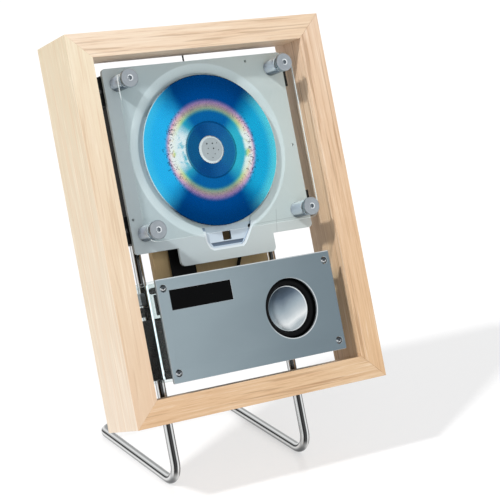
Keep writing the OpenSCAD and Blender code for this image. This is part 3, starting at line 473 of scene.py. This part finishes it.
def disc_blue():
    """Metallised blue with painted reflections: bright fans to the sides, deep ones above and
    below, a rainbow ring half way in with painted white highlights on its sides, short dark
    strokes round that ring and a rim painted light in the fans and dark above and below. The
    fans, the rainbow and the highlights are painted on, so they turn with the disc."""
    f = Finish("disc_blue")
    across, up, radius = f.around(0.0, DISC_Z)
    turn = up.angle(across)
    wave = f.noise(0.05, 2.0)
    # The fans are painted reflection: bright to the sides, deep above and below.
    side = abs(across * 0.993 - up * 0.12) / radius.high(0.5) + wave * 0.14 - 0.07
    fan = side.soft(0.52, 0.90)
    right = across.soft(-8.0, 8.0)

    # Painted reflection in the outer fans: paler towards the edge, most on the right, and a
    # different tone on each side.
    pale = radius.soft(50.0, 58.5) * (0.25 + right * 0.5)
    bright = f.mix(pale, f.mix(right, "2AB6F2", "1CACDC"), "62D8E4")
    outer = f.mix(fan, f.mix(radius.soft(40.0, 58.0), "00488F", "003A74"), bright)
    inner = f.mix(fan, "0B63A6", "35B6D0")
    body = f.mix(radius.soft(28.0, 34.0), inner, outer)

    # The rainbow ring is painted reflection, strongest in the fans.
    rainbow = f.ramp(
        (radius - 28.0) / 14.0,
        [
            (0.0, "18A0C4"),
            (0.20, "5CC79A"),
            (0.38, "D6DE84"),
            (0.52, "F0C79A"),
            (0.70, "E2A5C4"),
            (0.86, "A98BB8"),
            (1.0, "4A6CB8"),
        ],
    )
    ray = f.noise(0.9, 2.0, (1, 1, 1), (7, 0, 3))
    band = radius.soft(29.0, 33.0) * (1 - radius.soft(37.5, 41.5))
    glow = band * (0.42 + fan * 0.55) * (0.7 + ray * 0.6)
    glowing = f.mix(glow.low(1.0), body, rainbow)

    # Painted white highlights on the sides of the rainbow ring.
    patch = f.noise(0.16, 3.0, (1, 1, 1), (3, 0, 8)).soft(0.30, 0.52)
    start = 29.0 - (1 - right) * 8.0
    white = radius.soft(start, start + 3.0) * (1 - radius.soft(36.0, 39.5)) * side.soft(0.74, 0.96)
    whitened = f.mix((white * patch).low(1.0) * 0.9, glowing, "F2F8FA")

    # The hub ring, lighter on the right as painted light.
    hub = 1 - radius.soft(21.0, 21.8)
    hubbed = f.mix(hub * 0.9, whitened, f.mix(right, "0D4580", "1C5C98"))
    # A dark ring round the hub at 22.2 mm.
    dark_ring = 1 - abs(radius - 22.2).soft(0.3, 1.0)
    dark_ringed = f.mix(dark_ring * 0.7, hubbed, "06305F")

    # Short dark strokes round the rainbow ring, stronger in the fans.
    warp = f.noise(0.25, 2.0, (1, 1, 1), (11, 0, 5))
    stroke = (turn * 37.0 + warp * 22.0).sine().soft(0.78, 0.97)
    reach = radius.soft(33.0, 34.5) * (1 - radius.soft(36.0 + warp * 10.0, 38.0 + warp * 10.0))
    stroked = f.mix(stroke * reach * (0.25 + fan * 0.5), dark_ringed, "0A2C50")

    # Painted light and shade on the rim: light in the fans, dark above and below.
    edge = radius.soft(DISC_R - 0.8, DISC_R - 0.4)
    return f.surface(
        Base_Color=f.mix(edge * 0.85, stroked, f.mix(fan, "0A2A48", "E6F4F6")),
        Metallic=1.0,
        Roughness=0.24 + ray * 0.06,
    )


def clear_plastic(name, tint, shine, edge=None):
    """Clear acrylic: see-through, with a gloss. Past edge on the left it has a painted glow: a thin
    line of painted light.
    """
    f = Finish(name)
    facing = f.node("ShaderNodeLayerWeight", {"Blend": 0.5}, out=1)
    cloud = f.noise(0.05, 2.0)
    amount = facing**5 * shine
    glow = f.mix(cloud, "F2F8FA", "DCE9EC")
    if edge:
        # Painted glow: a thin strip at x = -edge, more opaque and with a weak emission, as painted
        # light.
        x, y, _ = f.axes()
        line = (x < 0.7 - edge) * (x > -edge - 0.3) * (y > 15.7) * (y < 18.4)
        amount = amount.high(line * 0.9)
        glow = f.mix(line, "000000", glow)
    return f.through(
        tint,
        amount,
        Base_Color=f.mix(cloud, "EEF5F7", "E2ECEF"),
        Roughness=0.05,
        Coat_Weight=0.4,
        Specular_IOR_Level=0.7,
        Emission_Color=glow,
        Emission_Strength=0.5 if edge else 0.0,
    )


def pale_edge():
    """The cover's cut edge, with painted light: a weak glow all along it, painted white light to
    the right and below, and a short painted glint at the upper left. It is clear elsewhere."""
    f = Finish("pale_edge")
    x, y, z = f.axes()
    # Painted light: white to the right and below, and a painted glint at the upper left.
    right, low = x.soft(76.0, 77.5), 1 - z.soft(137.0, 138.5)
    glint = z.soft(244.0, 248.0) * (1 - z.soft(262.0, 265.0)) * (x < 0.0)
    cloud = f.noise(0.2, 2.0)
    return f.through(
        "F4F8F9",
        right.high(low).high(glint * 0.6) * (y < COVER_FRONT + 1.2) * 0.85 + 0.08,
        Base_Color=f.mix(cloud, "F6FBFC", "DCE9EC"),
        Roughness=0.12,
        Emission_Color=f.mix(cloud, "F2F8FA", "D9E6EA"),
        Emission_Strength=0.22,
    )


def braided_cord():
    f = Finish("braided_cord")
    weave = f.node(
        "ShaderNodeTexWave",
        {"Vector": f.at(turn=(0, 0.8, 0)), "Scale": 0.9, "Distortion": 0.6},
        out=1,
        wave_type="BANDS",
    )
    return f.surface(
        Base_Color=f.mix(weave, "1C1C1D", "0B0B0C"),
        Roughness=0.8,
        Normal=f.bump(weave, 0.6, 0.0001),
    )


def green_board():
    f = Finish("green_board")
    tracks = f.node(
        "ShaderNodeTexBrick",
        {
            "Vector": f.at(turn=(math.radians(90), 0, 0)),
            "Color1": "1B5B36",
            "Color2": "174F30",
            "Mortar": "2E7A4B",
            "Scale": 0.35,
            "Mortar Size": 0.03,
        },
    )
    fine = f.noise(1.0, 2.0)
    return f.surface(Base_Color=tracks, Roughness=0.4 + fine * 0.15, Coat_Weight=0.3)


WOODS = {
    # The left stile's last tone is painted light on its outer side.
    "frame_left_stile": pale_wood(
        "wood_left", "z", (0, 0, 0), "DFC0A2", "EFE1C6", "DDBF9F", "CFAE8C", "DDCDBA"
    ),
    "frame_right_stile": pale_wood(
        "wood_right", "z", (57, 13, 91), "DDB991", "E8CCB1", "BF946C", "936A48"
    ),
    "frame_top_rail": pale_wood(
        "wood_top", "x", (33, 71, 5), "F3DEC6", "EACFB1", "CFA985", "B08A66"
    ),
    "frame_bottom_rail": pale_wood(
        "wood_bottom", "x", (120, 40, 17), "DDB993", "DFC09B", "B98C62", "9A704B"
    ),
}
BOARD = tan_board()
CHROME = chrome(
    "chrome_rod",
    [
        (0.02, "6E7071"),
        (0.12, "A2A4A5"),
        (0.20, "DADBDB"),
        (0.33, "CFD1D1"),
        (0.38, "4A4B4B"),
        (0.46, "1F2020"),
        (0.60, "4B4C4C"),
        (0.72, "2A2B2B"),
        (0.78, "C9CBCB"),
        (0.86, "EFF0F0"),
        (0.93, "6A6B6B"),
    ],
    [
        (0.02, "4E5051"),
        (0.14, "7E8081"),
        (0.24, "C4C6C6"),
        (0.36, "E6E7E7"),
        (0.44, "8A8B8C"),
        (0.48, "1D1E1E"),
        (0.57, "262727"),
        (0.62, "A5A7A7"),
        (0.76, "E2E3E3"),
        (0.92, "8B8D8D"),
    ],
    floor=8.5,
)
BARREL = chrome(
    "barrel_chrome",
    [
        (0.02, "8E97A6"),
        (0.10, "C9D0DC"),
        (0.24, "E3E8EE"),
        (0.34, "A4B1BE"),
        (0.42, "3E4B5A"),
        (0.52, "56667A"),
        (0.62, "B4BFCA"),
        (0.95, "7D8B98"),
    ],
    [(0.1, "4C5865"), (0.5, "93A0AC"), (0.8, "E9EFF3"), (1.0, "F4F8FA")],
    rough=0.16,
    metallic=0.6,
)
SCREW = chrome(
    "screw_steel",
    [(0.0, "F6F7F7"), (0.35, "E2E5E6"), (0.6, "5F666C"), (1.0, "24282B")],
    [(0.3, "FFFFFF"), (0.78, "F4F6F7"), (0.815, "8A9298"), (0.86, "4A5056"), (1.0, "2A2E32")],
)
STEEL = metal("zinc_steel", "A9ABAD", "8E9194", 0.34)
DARK_STEEL = metal("dark_steel", "3A3B3D", "2C2D2F", 0.42)
IRON = metal("magnet_iron", "6E7072", "5A5C5E", 0.4)
BRASS = metal("brass", "C9A25A", "A9823F", 0.3)
CLAMP = metal("clamp_silver", "C3C8CC", "A7ADB2", 0.3, 3.0)
BRIGHT = metal("bright_rim", "E9EEF0", "CFD6DA", 0.12, 1.0, 0.02)
SILVER = turned_silver()
DECK = deck_grey()
PANEL = anodised_panel()
DISH = spun_dish()
DISC = disc_blue()
COVER = clear_plastic("cover_clear", "FBFDFD", 0.5)
# The case's clear plastic has a painted glow, a thin line of painted light at x = -76.
CASE = clear_plastic("case_clear", "F5F8F8", 0.5, 76.0)
EDGE = pale_edge()
BLACK = plastic("satin_black", "17181A", "101113", 0.45)
HOUSING = plastic("housing_black", "141517", "0C0D0E", 0.5)
GLOSS_BLACK = plastic("gloss_black", "050607", "030304", 0.06, 0.4, 0.0, 0.05)
RUBBER = plastic("black_rubber", "0A0B0D", "060708", 0.42, 2.4, 0.2, 0.08)
CABLE = plastic("cable_black", "101011", "0A0A0B", 0.4)
LENS = plastic("lens_blue", "2C3E5C", "1D2B44", 0.05, 0.5, 0.0, 0.6)
CORD = braided_cord()
PCB = green_board()


# ---------- building pieces, in the frame's own axes ----------


def finish_piece(bm, name, body, materials, node, smooth=35, place=TO_WORLD):
    """Puts a form made in mm into the shared frame as a piece of that body, in place of node."""
    bmesh.ops.remove_doubles(bm, verts=bm.verts, dist=1e-5)
    bmesh.ops.recalc_face_normals(bm, faces=bm.faces)
    mesh = bpy.data.meshes.new(name)
    bm.to_mesh(mesh)
    bm.free()
    mesh.transform(place)
    mesh.update()
    piece = bpy.data.objects.new(name, mesh)
    bpy.context.scene.collection.objects.link(piece)
    for material in materials:
        mesh.materials.append(material)
    mesh.shade_smooth()
    mesh.set_sharp_from_angle(angle=math.radians(smooth))
    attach(piece, body)
    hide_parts(node)


def keep(node, material, bevel=0.0):
    """A CAD node stays as it is, with its finish and slightly rounded edges."""
    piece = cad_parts[node]
    piece.data.materials.clear()
    piece.data.materials.append(material)
    weld = piece.modifiers.new("weld", "WELD")
    weld.merge_threshold = 1e-6
    if bevel:
        edge = piece.modifiers.new("edges", "BEVEL")
        edge.width, edge.segments = bevel / 1000, 2
        edge.limit_method, edge.angle_limit = "ANGLE", math.radians(30)
        edge.use_clamp_overlap = True
        normal = piece.modifiers.new("normals", "WEIGHTED_NORMAL")
        normal.keep_sharp = True


def circle(x, z, r, steps):
    """The points of a circle about x and z."""
    turns = [math.tau * i / steps for i in range(steps)]
    return [(x + r * math.cos(a), z + r * math.sin(a)) for a in turns]


def rounded_box(x0, x1, z0, z1, r, steps):
    """Outline of a rounded rectangle, counter-clockwise."""
    out = []
    for cx, cz, start in (
        (x1 - r, z0 + r, -90),
        (x1 - r, z1 - r, 0),
        (x0 + r, z1 - r, 90),
        (x0 + r, z0 + r, 180),
    ):
        for i in range(steps + 1):
            a = math.radians(start + 90 * i / steps)
            out.append((cx + r * math.cos(a), cz + r * math.sin(a)))
    return out


def rounded_line(points, radius, steps=3):
    """Rounds the inner corners of an open line: a profile's, or a wire's."""
    out = [points[0]]
    for before, here, after in zip(points, points[1:], points[2:]):
        p, a, b = Vector(here), Vector(before), Vector(after)
        da, db = (a - p), (b - p)
        r = min(radius, da.length * 0.45, db.length * 0.45)
        start, end = p + da.normalized() * r, p + db.normalized() * r
        for i in range(steps + 1):
            t = i / steps
            out.append(tuple((1 - t) ** 2 * start + 2 * t * (1 - t) * p + t * t * end))
    out.append(points[-1])
    return out


def lathe(bm, profile, x, z, steps, closed=False, index=0):
    """A turned form: points of radius and depth, about the line along y through x and z."""
    rings = []
    for radius, y in profile:
        spots = [(x, z)] if radius < 1e-6 else circle(x, z, radius, steps)
        rings.append([bm.verts.new((px, y, pz)) for px, pz in spots])
    pairs = list(zip(rings, rings[1:])) + ([(rings[-1], rings[0])] if closed else [])
    for a, b in pairs:
        for i in range(steps):
            j = (i + 1) % steps
            corners = [a[i % len(a)], a[j % len(a)], b[j % len(b)], b[i % len(b)]]
            face = bm.faces.new(list(dict.fromkeys(corners)))
            face.material_index = index


def plate(name, outlines, y0, y1, bevel):
    """A flat plate with holes and rounded edges: outlines of x and z, from depth y0 to y1."""
    curve = bpy.data.curves.new(name, "CURVE")
    curve.dimensions, curve.fill_mode = "2D", "BOTH"
    curve.extrude = (y1 - y0) / 2 - bevel
    curve.bevel_depth, curve.bevel_resolution, curve.offset = bevel, 2, -bevel
    for outline in outlines:
        spline = curve.splines.new("POLY")
        spline.points.add(len(outline) - 1)
        for point, (x, z) in zip(spline.points, outline):
            point.co = (x, z, 0, 1)
        spline.use_cyclic_u = True
    scratch = bpy.data.objects.new(name, curve)
    bpy.context.scene.collection.objects.link(scratch)
    graph = bpy.context.evaluated_depsgraph_get()
    mesh = bpy.data.meshes.new_from_object(scratch.evaluated_get(graph))
    bpy.data.objects.remove(scratch)
    mesh.transform(
        Matrix.Translation((0, (y0 + y1) / 2, 0)) @ Matrix.Rotation(math.radians(90), 4, "X")
    )
    bm = bmesh.new()
    bm.from_mesh(mesh)
    bpy.data.meshes.remove(mesh)
    bm.normal_update()
    return bm


def tube(bm, rings):
    """The faces between rings of points, one after the other."""
    for a, b in zip(rings, rings[1:]):
        for k in range(len(a)):
            m = (k + 1) % len(a)
            bm.faces.new((a[k], a[m], b[m], b[k]))


def sweep(bm, points, radius, sides):
    """A round rod or wire along points, with open ends and an even turn between points."""
    pts = [Vector(p) for p in points]
    heads = []
    for i in range(len(pts)):
        a, b = pts[max(i - 1, 0)], pts[min(i + 1, len(pts) - 1)]
        heads.append((b - a).normalized())
    side = heads[0].orthogonal().normalized()
    rings = []
    for i, (p, head) in enumerate(zip(pts, heads)):
        if i:
            side = (heads[i - 1].rotation_difference(head) @ side).normalized()
        other = head.cross(side)
        ring = [p + side * u + other * v for u, v in circle(0, 0, radius, sides)]
        rings.append([bm.verts.new(v) for v in ring])
    tube(bm, rings)
    return rings


# ---------- the pieces ----------


def wooden_frame():
    for node, wood in WOODS.items():
        keep(node, wood, 0.3)


def rod_stand():
    """The stand's rod along its whole bent line, with rounded ends."""
    lean_c, lean_s = math.cos(LEAN), math.sin(LEAN)
    bend, rear_bend, drop, run, leg_top = 12.0, 10.5, 52.4, 130.0, 247.4
    foot_y = ROD_Y * lean_c - drop * lean_s - CENTRE_Y
    bend_y = foot_y + bend / math.tan((math.pi / 2 - LEAN) / 2)
    rear_y = foot_y + run
    arc = [i / 12 for i in range(13)]

    def leg(x, z):
        return (
            x,
            ROD_Y * lean_c + z * lean_s - CENTRE_Y,
            -ROD_Y * lean_s + z * lean_c + BASE_Z,
        )

    def half(x):
        inward = -1 if x > 0 else 1
        line = [leg(x, z) for z in (leg_top, 200, 120, 40, 0, -20)]
        for t in arc:
            a = math.pi - LEAN + (math.pi / 2 + LEAN) * t
            line.append((x, bend_y + bend * math.cos(a), ROD_R + bend + bend * math.sin(a)))
        line += [(x, bend_y + (rear_y - rear_bend - bend_y) * t, ROD_R) for t in (0.33, 0.66)]
        for t in arc:
            a = math.pi / 2 * t
            corner_x = x + inward * rear_bend * (1 - math.cos(a))
            line.append((corner_x, rear_y - rear_bend + rear_bend * math.sin(a), ROD_R))
        return line

    bm = bmesh.new()
    line = half(-ROD_X) + [(0.0, rear_y, ROD_R)] + half(ROD_X)[::-1]
    rings = sweep(bm, line, ROD_R, 40)
    up = Vector((0, lean_s, lean_c))
    for ring in (rings[0], rings[-1]):
        centre = sum((v.co for v in ring), Vector()) / len(ring)
        dome = [ring]
        for step in range(1, 4):
            a = math.pi / 2 * step / 4
            high = centre + up * 0.6 * math.sin(a)
            dome.append([bm.verts.new(high + (v.co - centre) * math.cos(a)) for v in ring])
        tube(bm, dome)
        bm.faces.new(dome[-1])
    finish_piece(bm, "rod_stand", "frame", [CHROME], "wire_stand", 50, MM)


def slot_shade_faces(bm, x, y, z, size, turn):
    """The crossed slot of a screw's head, as painted shade: two dark faces laid just over it."""
    for a in (turn, turn + math.pi / 2):
        ux, uz = math.cos(a), math.sin(a)
        thin = size * 0.22
        corners = [
            (x + ux * s * size - uz * t * thin, z + uz * s * size + ux * t * thin)
            for s, t in ((-1, -1), (1, -1), (1, 1), (-1, 1))
        ]
        face = bm.faces.new([bm.verts.new((px, y, pz)) for px, pz in corners])
        face.material_index = 1


def disc_piece():
    """The disc, with a moulded step round its hub and rounded rims."""
    bm = bmesh.new()
    front, rear = DISC_FRONT, DISC_REAR
    profile = [
        (DISC_HOLE_R, front + 0.15),
        (DISC_HOLE_R + 0.15, front),
        (16.2, front),
        (16.5, front + 0.14),
        (17.1, front + 0.14),
        (17.4, front),
        (DISC_R - 0.45, front),
        (DISC_R - 0.15, front + 0.12),
        (DISC_R, front + 0.35),
        (DISC_R, rear - 0.3),
        (DISC_R - 0.15, rear - 0.1),
        (DISC_R - 0.4, rear),
        (DISC_HOLE_R + 0.15, rear),
        (DISC_HOLE_R, rear - 0.15),
    ]
    lathe(bm, profile, 0, DISC_Z, 192, closed=True)
    finish_piece(bm, "disc_face", "disc", [DISC], "disc", 40)


def clamp_piece():
    """The low clamp: a bright sloping rim round a satin face. Dark faces laid just over it
    stand for its small holes."""
    bm = bmesh.new()
    y = DISC_FRONT
    rim = [(7.8, y - 0.02), (11.3, y - 0.02), (11.1, y - 0.35), (10.0, y - 1.2), (9.4, y - 1.2)]
    lathe(bm, rounded_line(rim, 0.2), 0, DISC_Z, 128, index=1)
    face = [(9.4, y - 1.2), (9.0, y - 1.0), (5.0, y - 1.02), (0, y - 1.03)]
    lathe(bm, face, 0, DISC_Z, 128)
    for i in range(9):
        a = i * 2.399 + 0.4
        r = 1.6 + 5.6 * math.sqrt(i / 9)
        hole = circle(r * math.cos(a), DISC_Z + r * math.sin(a), 0.42 if i % 3 else 0.62, 16)
        dark = bm.faces.new([bm.verts.new((px, y - 1.07, pz)) for px, pz in hole])
        dark.material_index = 2
    materials = [CLAMP, BRIGHT, HOUSING]
    finish_piece(bm, "clamp_face", "disc_clamp", materials, "disc_clamp")


def standoffs_and_caps():
    bm = bmesh.new()
    bore_end = COVER_BACK + BARREL_BORE
    outer = [
        (BARREL_BORE_R, bore_end),
        (BARREL_BORE_R, COVER_BACK),
        (BARREL_R, COVER_BACK),
        (BARREL_R, DECK_Y),
        (0, DECK_Y),
    ]
    for side, level in CORNERS.values():
        x, z = side * STANDOFF_X, COVER_Z + level * STANDOFF_Z
        lathe(bm, rounded_line(outer, 0.45), x, z, 64)
        lathe(bm, [(0, bore_end), (BARREL_BORE_R, bore_end)], x, z, 64)
    finish_piece(bm, "barrels", "frame", [BARREL], "standoff_barrels")
    for name, (side, level) in CORNERS.items():
        cap_piece(f"cap_{name}", side * STANDOFF_X, COVER_Z + level * STANDOFF_Z)


def cap_piece(node, x, z):
    """A cap: chamfered head with a countersunk hexagon socket, and its stud behind."""
    bm = bmesh.new()
    front, back, end = COVER_FRONT - CAP_T, COVER_FRONT - 0.05, COVER_BACK + STUD
    socket_r, hexagon_r, steps = 2.45, 1.62, 72
    outer = [
        (socket_r, front),
        (CAP_R - 0.75, front),
        (CAP_R, front + 0.75),
        (CAP_R, COVER_FRONT - 0.5),
        (CAP_R - 0.4, back),
        (STUD_R, back),
        (STUD_R, end - 0.4),
        (STUD_R - 0.4, end),
        (0, end),
    ]
    lathe(bm, rounded_line(outer, 0.22), x, z, steps)
    rim, throat, bottom = [], [], []
    for i in range(steps):
        a = math.tau * i / steps
        flat = hexagon_r / math.cos((a + math.pi / 6) % (math.pi / 3) - math.pi / 6)
        for ring, r, depth in ((rim, socket_r, 0.0), (throat, flat, 0.45), (bottom, flat, 2.4)):
            ring.append(bm.verts.new((x + r * math.cos(a), front + depth, z + r * math.sin(a))))
    for i in range(steps):
        j = (i + 1) % steps
        for index, (a, b) in ((1, (rim, throat)), (0, (throat, bottom))):
            face = bm.faces.new((a[i], a[j], b[j], b[i]))
            face.material_index = index
    bm.faces.new(bottom)
    finish_piece(bm, f"{node}_head", node, [SILVER, BRIGHT], node, 28)


def cover_piece():
    """The clear cover: see-through faces and an edge with painted light."""
    z0, z1 = COVER_Z - COVER_H / 2, COVER_Z + COVER_H / 2
    outline = rounded_box(-COVER_W / 2, COVER_W / 2, z0, z1, 8.7, 10)
    holes = [
        circle(sx * STANDOFF_X, COVER_Z + sz * STANDOFF_Z, 2.8, 40)
        for sx in (-1, 1)
        for sz in (-1, 1)
    ]
    bm = plate("cover_sheet", [outline, *holes], COVER_FRONT, COVER_BACK, 0.25)
    for face in bm.faces:
        face.material_index = 0 if abs(face.normal.y) > 0.9 else 1
    finish_piece(bm, "cover_sheet", "frame", [COVER, EDGE], "clear_cover", 20)


def panel_piece():
    """The control panel: a sheet with a window, a round opening and countersunk screws."""
    spots = [(sx * SCREW_X, z) for sx in (-1, 1) for z in (SCREW_Z0, SCREW_Z1)]
    outlines = [
        rounded_box(-PANEL_W / 2, PANEL_W / 2, PANEL_Z0, PANEL_Z1, 1.0, 6),
        rounded_box(-69.0, -15.0, 82.6, 98.0, 0.3, 3),
        circle(SPEAKER_X, SPEAKER_Z, SPEAKER_HOLE_R, 128),
        *(circle(x, z, 2.9, 40) for x, z in spots),
    ]
    bm = plate("panel_sheet", outlines, PANEL_FRONT, PANEL_BACK, 0.3)
    for face in bm.faces:
        face.material_index = 1 if 0.2 < -face.normal.y < 0.95 else 0
    finish_piece(bm, "panel_sheet", "frame", [PANEL, BRIGHT], "control_panel", 20)

    bm = bmesh.new()
    top = PANEL_FRONT + 0.05
    head = [(1.45, 14.0), (1.45, top + 1.5), (2.7, top + 0.7), (1.9, top), (0, top - 0.12)]
    for (x, z), turn in zip(spots, (0.5, 0.2, 0.9, 0.35)):
        lathe(bm, rounded_line(head, 0.5), x, z, 40)
        # Painted shade in each screw's crossed slot.
        slot_shade_faces(bm, x, top - 0.16, z, 1.35, turn)
    finish_piece(bm, "panel_screw_heads", "frame", [SCREW, HOUSING], "panel_screws")
    keep("display_lens", GLOSS_BLACK, 0.1)


def loudspeaker():
    bm = bmesh.new()
    ball = (DISH_R * DISH_R + DISH_DEEP * DISH_DEEP) / (2 * DISH_DEEP)
    half = math.asin(DISH_R / ball)
    bottom = DISH_RIM + DISH_DEEP
    hollow = [
        (ball * math.sin(half * i / 28), bottom - ball * (1 - math.cos(half * i / 28)))
        for i in range(29)
    ]
    back = [
        (DISH_R, DISH_RIM + 0.85),
        (7.2, bottom + 0.3),
        (7.2, 17.0),
        (6.6, 17.0),
        (6.6, bottom + 1),
        (0, bottom + 1),
    ]
    profile = hollow[:-1] + rounded_line([hollow[-1], *back], 0.15)
    lathe(bm, profile, SPEAKER_X, SPEAKER_Z, 128)
    finish_piece(bm, "dish", "speaker_dish", [DISH], "speaker_dish", 40)

    bm = bmesh.new()
    y, roll_r = DISH_RIM, 21.1
    turns = [math.pi * i / 24 for i in range(25)]
    outer = [(roll_r + 2.3 * math.cos(a), y - 2.3 * math.sin(a)) for a in turns[1:-1]]
    inner = [(roll_r + 1.6 * math.cos(a), y + 0.7 - 1.6 * math.sin(a)) for a in turns[::-1]]
    flange = [(25.4, y - 0.1), (25.4, y - 0.8), (23.9, y - 0.8), (23.4, y)]
    lip = [(DISH_R + 0.15, y), (DISH_R + 0.15, y + 0.7)]
    lathe(bm, flange + outer + lip + inner, SPEAKER_X, SPEAKER_Z, 128, closed=True)
    finish_piece(bm, "rubber_roll", "frame", [RUBBER], "speaker_surround", 40)
    keep("speaker_basket", DARK_STEEL, 0.15)
    keep("speaker_magnet", IRON, 0.3)


def flat_cable():
    """The flat cable: a row of fine ribs from one unit to the other."""
    bm = bmesh.new()
    centre_x, half, count = -29.5, 11.0, 22
    z0, z1 = 79.0, 149.5
    section = []
    for i in range(count):
        for k in range(4):
            across = (i + k / 4) * 2 * half / count - half
            section.append((across, 0.36 + 0.14 * abs(math.sin(math.pi * k / 4))))
    section.append((half, 0.36))
    loop = [(x, CABLE_Y - d) for x, d in section] + [(x, CABLE_Y + d) for x, d in section[::-1]]
    rows = [[bm.verts.new((centre_x + x, y, z)) for x, y in loop] for z in (z0, z1)]
    tube(bm, rows)
    for row in rows:
        bm.faces.new(row)
    finish_piece(bm, "flat_cable", "frame", [CABLE], "ribbon_cable", 25)


def thin_cables():
    """The signal wire between the units, and the braided tie up to the frame with its knot."""
    bm = bmesh.new()
    line = [(27.2, WIRE_Y, 146), (27.2, WIRE_Y, 124.9), (19.2, WIRE_Y, 108.9), (19.2, WIRE_Y, 96.4)]
    rings = sweep(bm, rounded_line(line, 3.0, 6), 1.4, 24)
    bm.faces.new(rings[0][::-1])
    bm.faces.new(rings[-1])
    finish_piece(bm, "thin_wire", "frame", [CABLE], "signal_wire")

    bm = bmesh.new()
    rings = []
    top, bottom, steps = 286.3, 266.5, 90
    for i in range(steps + 1):
        z = bottom + (top - bottom) * i / steps
        ring = []
        for k in range(16):
            a = math.tau * k / 16
            r = 0.64 + 0.06 * math.cos(4 * a + i * 0.7)
            ring.append(bm.verts.new((r * math.cos(a), TIE_Y + r * math.sin(a), z)))
        rings.append(ring)
    tube(bm, rings)
    bm.faces.new(rings[0])
    bm.faces.new(rings[-1])
    knot = Matrix.Translation((0, TIE_Y, 267.0))
    bmesh.ops.create_icosphere(bm, subdivisions=3, radius=1.45, matrix=knot)
    finish_piece(bm, "braided_tie", "frame", [CORD], "tie_cord")


def carried_nodes():
    """CAD nodes whose own shape shows, by finish and the rounding of their edges."""
    for material, bevel, nodes in (
        (DECK, 0.25, ["deck_plate"]),
        (HOUSING, 0.4, ["drive_chassis", "amp_box"]),
        (DARK_STEEL, 0.2, ["side_brackets"]),
        (DARK_STEEL, 0.4, ["rod_blocks"]),
        (STEEL, 0.2, ["sled_motor", "spindle_motor"]),
        (STEEL, 0.15, ["mech_plate", "rod_saddles", "hanger_plates"]),
        (STEEL, 0.1, ["power_inlet", "block_screws", "hanger_screws", "saddle_screws"]),
        (STEEL, 0.1, ["board_screws"]),
        (CHROME, 0.0, ["guide_rods"]),
        (BRASS, 0.0, ["lead_screw"]),
        (BRASS, 0.1, ["cord_ferrule"]),
        (BLACK, 0.4, ["battery_box"]),
        (BLACK, 0.25, ["pickup_sled"]),
        (BLACK, 0.2, ["display_module"]),
        (BLACK, 0.15, ["button_power", "button_play", "button_next", "button_back"]),
        (BLACK, 0.1, ["turntable", "audio_jack"]),
        (BLACK, 0.0, ["panel_spacers"]),
        (LENS, 0.0, ["pickup_lens"]),
        (PCB, 0.1, ["drive_board", "amp_board"]),
        (CASE, 0.0, ["carrier_plate", "clear_case"]),
        (BOARD, 0.5, ["back_board"]),
    ):
        for node in nodes:
            keep(node, material, bevel)


# ---------- the studio ----------


def floor():
    """A plain white floor that keeps the object's shadow and a faint mirror image."""
    f = Finish("studio_floor")
    cloud = f.noise(0.004, 2.0)
    paint = f.shader(
        {
            "Base_Color": f.mix(cloud, (0.82, 0.815, 0.815, 1), (0.84, 0.835, 0.835, 1)),
            "Roughness": 0.08,
            "Specular_IOR_Level": 0.35,
        }
    )
    glow = f.node("ShaderNodeEmission", {0: (1, 1, 1, 1), 1: 1.28})
    f.ends_in(f.node("ShaderNodeMixShader", {0: f.seen() * 0.42, 1: paint, 2: glow}))
    bm = bmesh.new()
    bmesh.ops.create_circle(bm, cap_ends=True, radius=14, segments=96)
    mesh = bpy.data.meshes.new("studio_floor")
    bm.to_mesh(mesh)
    bm.free()
    mesh.materials.append(f.material)
    ground = bpy.data.objects.new("studio_floor", mesh)
    bpy.context.scene.collection.objects.link(ground)


def sky():
    """Soft light from all round, a little stronger from above, and white where it is seen."""
    f = Finish("studio_sky", sky=True)
    bpy.context.scene.world = f.material
    split = f.node("ShaderNodeSeparateXYZ", {0: f.node("ShaderNodeTexCoord", out=0)})
    height = Value(f, split.socket.node.outputs[2])
    light = f.ramp(
        height * 0.5 + 0.5,
        [
            (0.45, (0.30, 0.30, 0.30, 1)),
            (0.60, (0.42, 0.42, 0.43, 1)),
            (1.0, (0.55, 0.56, 0.57, 1)),
        ],
    )
    shade = f.mix(f.seen(), light, (1, 1, 1, 1))
    f.ends_in(f.node("ShaderNodeBackground", {0: shade, 1: 1.0}))


def lamp(name, kind, place, target, energy, **settings):
    data = bpy.data.lights.new(name, kind)
    data.energy = energy
    for key, value in settings.items():
        setattr(data, key, value)
    light = bpy.data.objects.new(name, data)
    light.location = place
    light.rotation_euler = (Vector(target) - Vector(place)).to_track_quat("-Z", "Y").to_euler()
    light.visible_glossy = False
    bpy.context.scene.collection.objects.link(light)


def lights():
    """A sun from the upper left, and a wide soft lamp in front."""
    lamp("key_sun", "SUN", (-0.68, -0.11, 0.72), (0, 0, 0), 2.4, angle=math.radians(4.5))
    size = {"shape": "RECTANGLE", "size": 1.2, "size_y": 0.9}
    lamp("front_box", "AREA", (-0.45, -1.6, 0.75), (0, 0, 0.2), 7.5, **size)


def camera():
    """The photograph's camera, fitted to it: its place, its tilt and its 122 mm lens."""
    data = bpy.data.cameras.new("camera")
    data.sensor_width, data.lens = 36.0, 122.0947
    data.shift_x, data.shift_y = -1.1147 / 500, -2.1057 / 500
    data.clip_start, data.clip_end = 0.05, 60
    eye = bpy.data.objects.new("camera", data)
    right, up = (0.842769, -0.53789, 0.020352, 0), (0.141533, 0.257916, 0.955744, 0)
    back, place = (-0.519334, -0.802592, 0.293494, 0), (-0.674045, -1.095058, 0.570352, 1)
    eye.matrix_world = Matrix((right, up, back, place)).transposed()
    bpy.context.scene.collection.objects.link(eye)
    bpy.context.scene.camera = eye


wooden_frame()
rod_stand()
carried_nodes()
disc_piece()
clamp_piece()
standoffs_and_caps()
cover_piece()
panel_piece()
loudspeaker()
flat_cable()
thin_cables()
floor()
sky()
lights()
camera()
bpy.context.scene.view_settings.view_transform = "Standard"
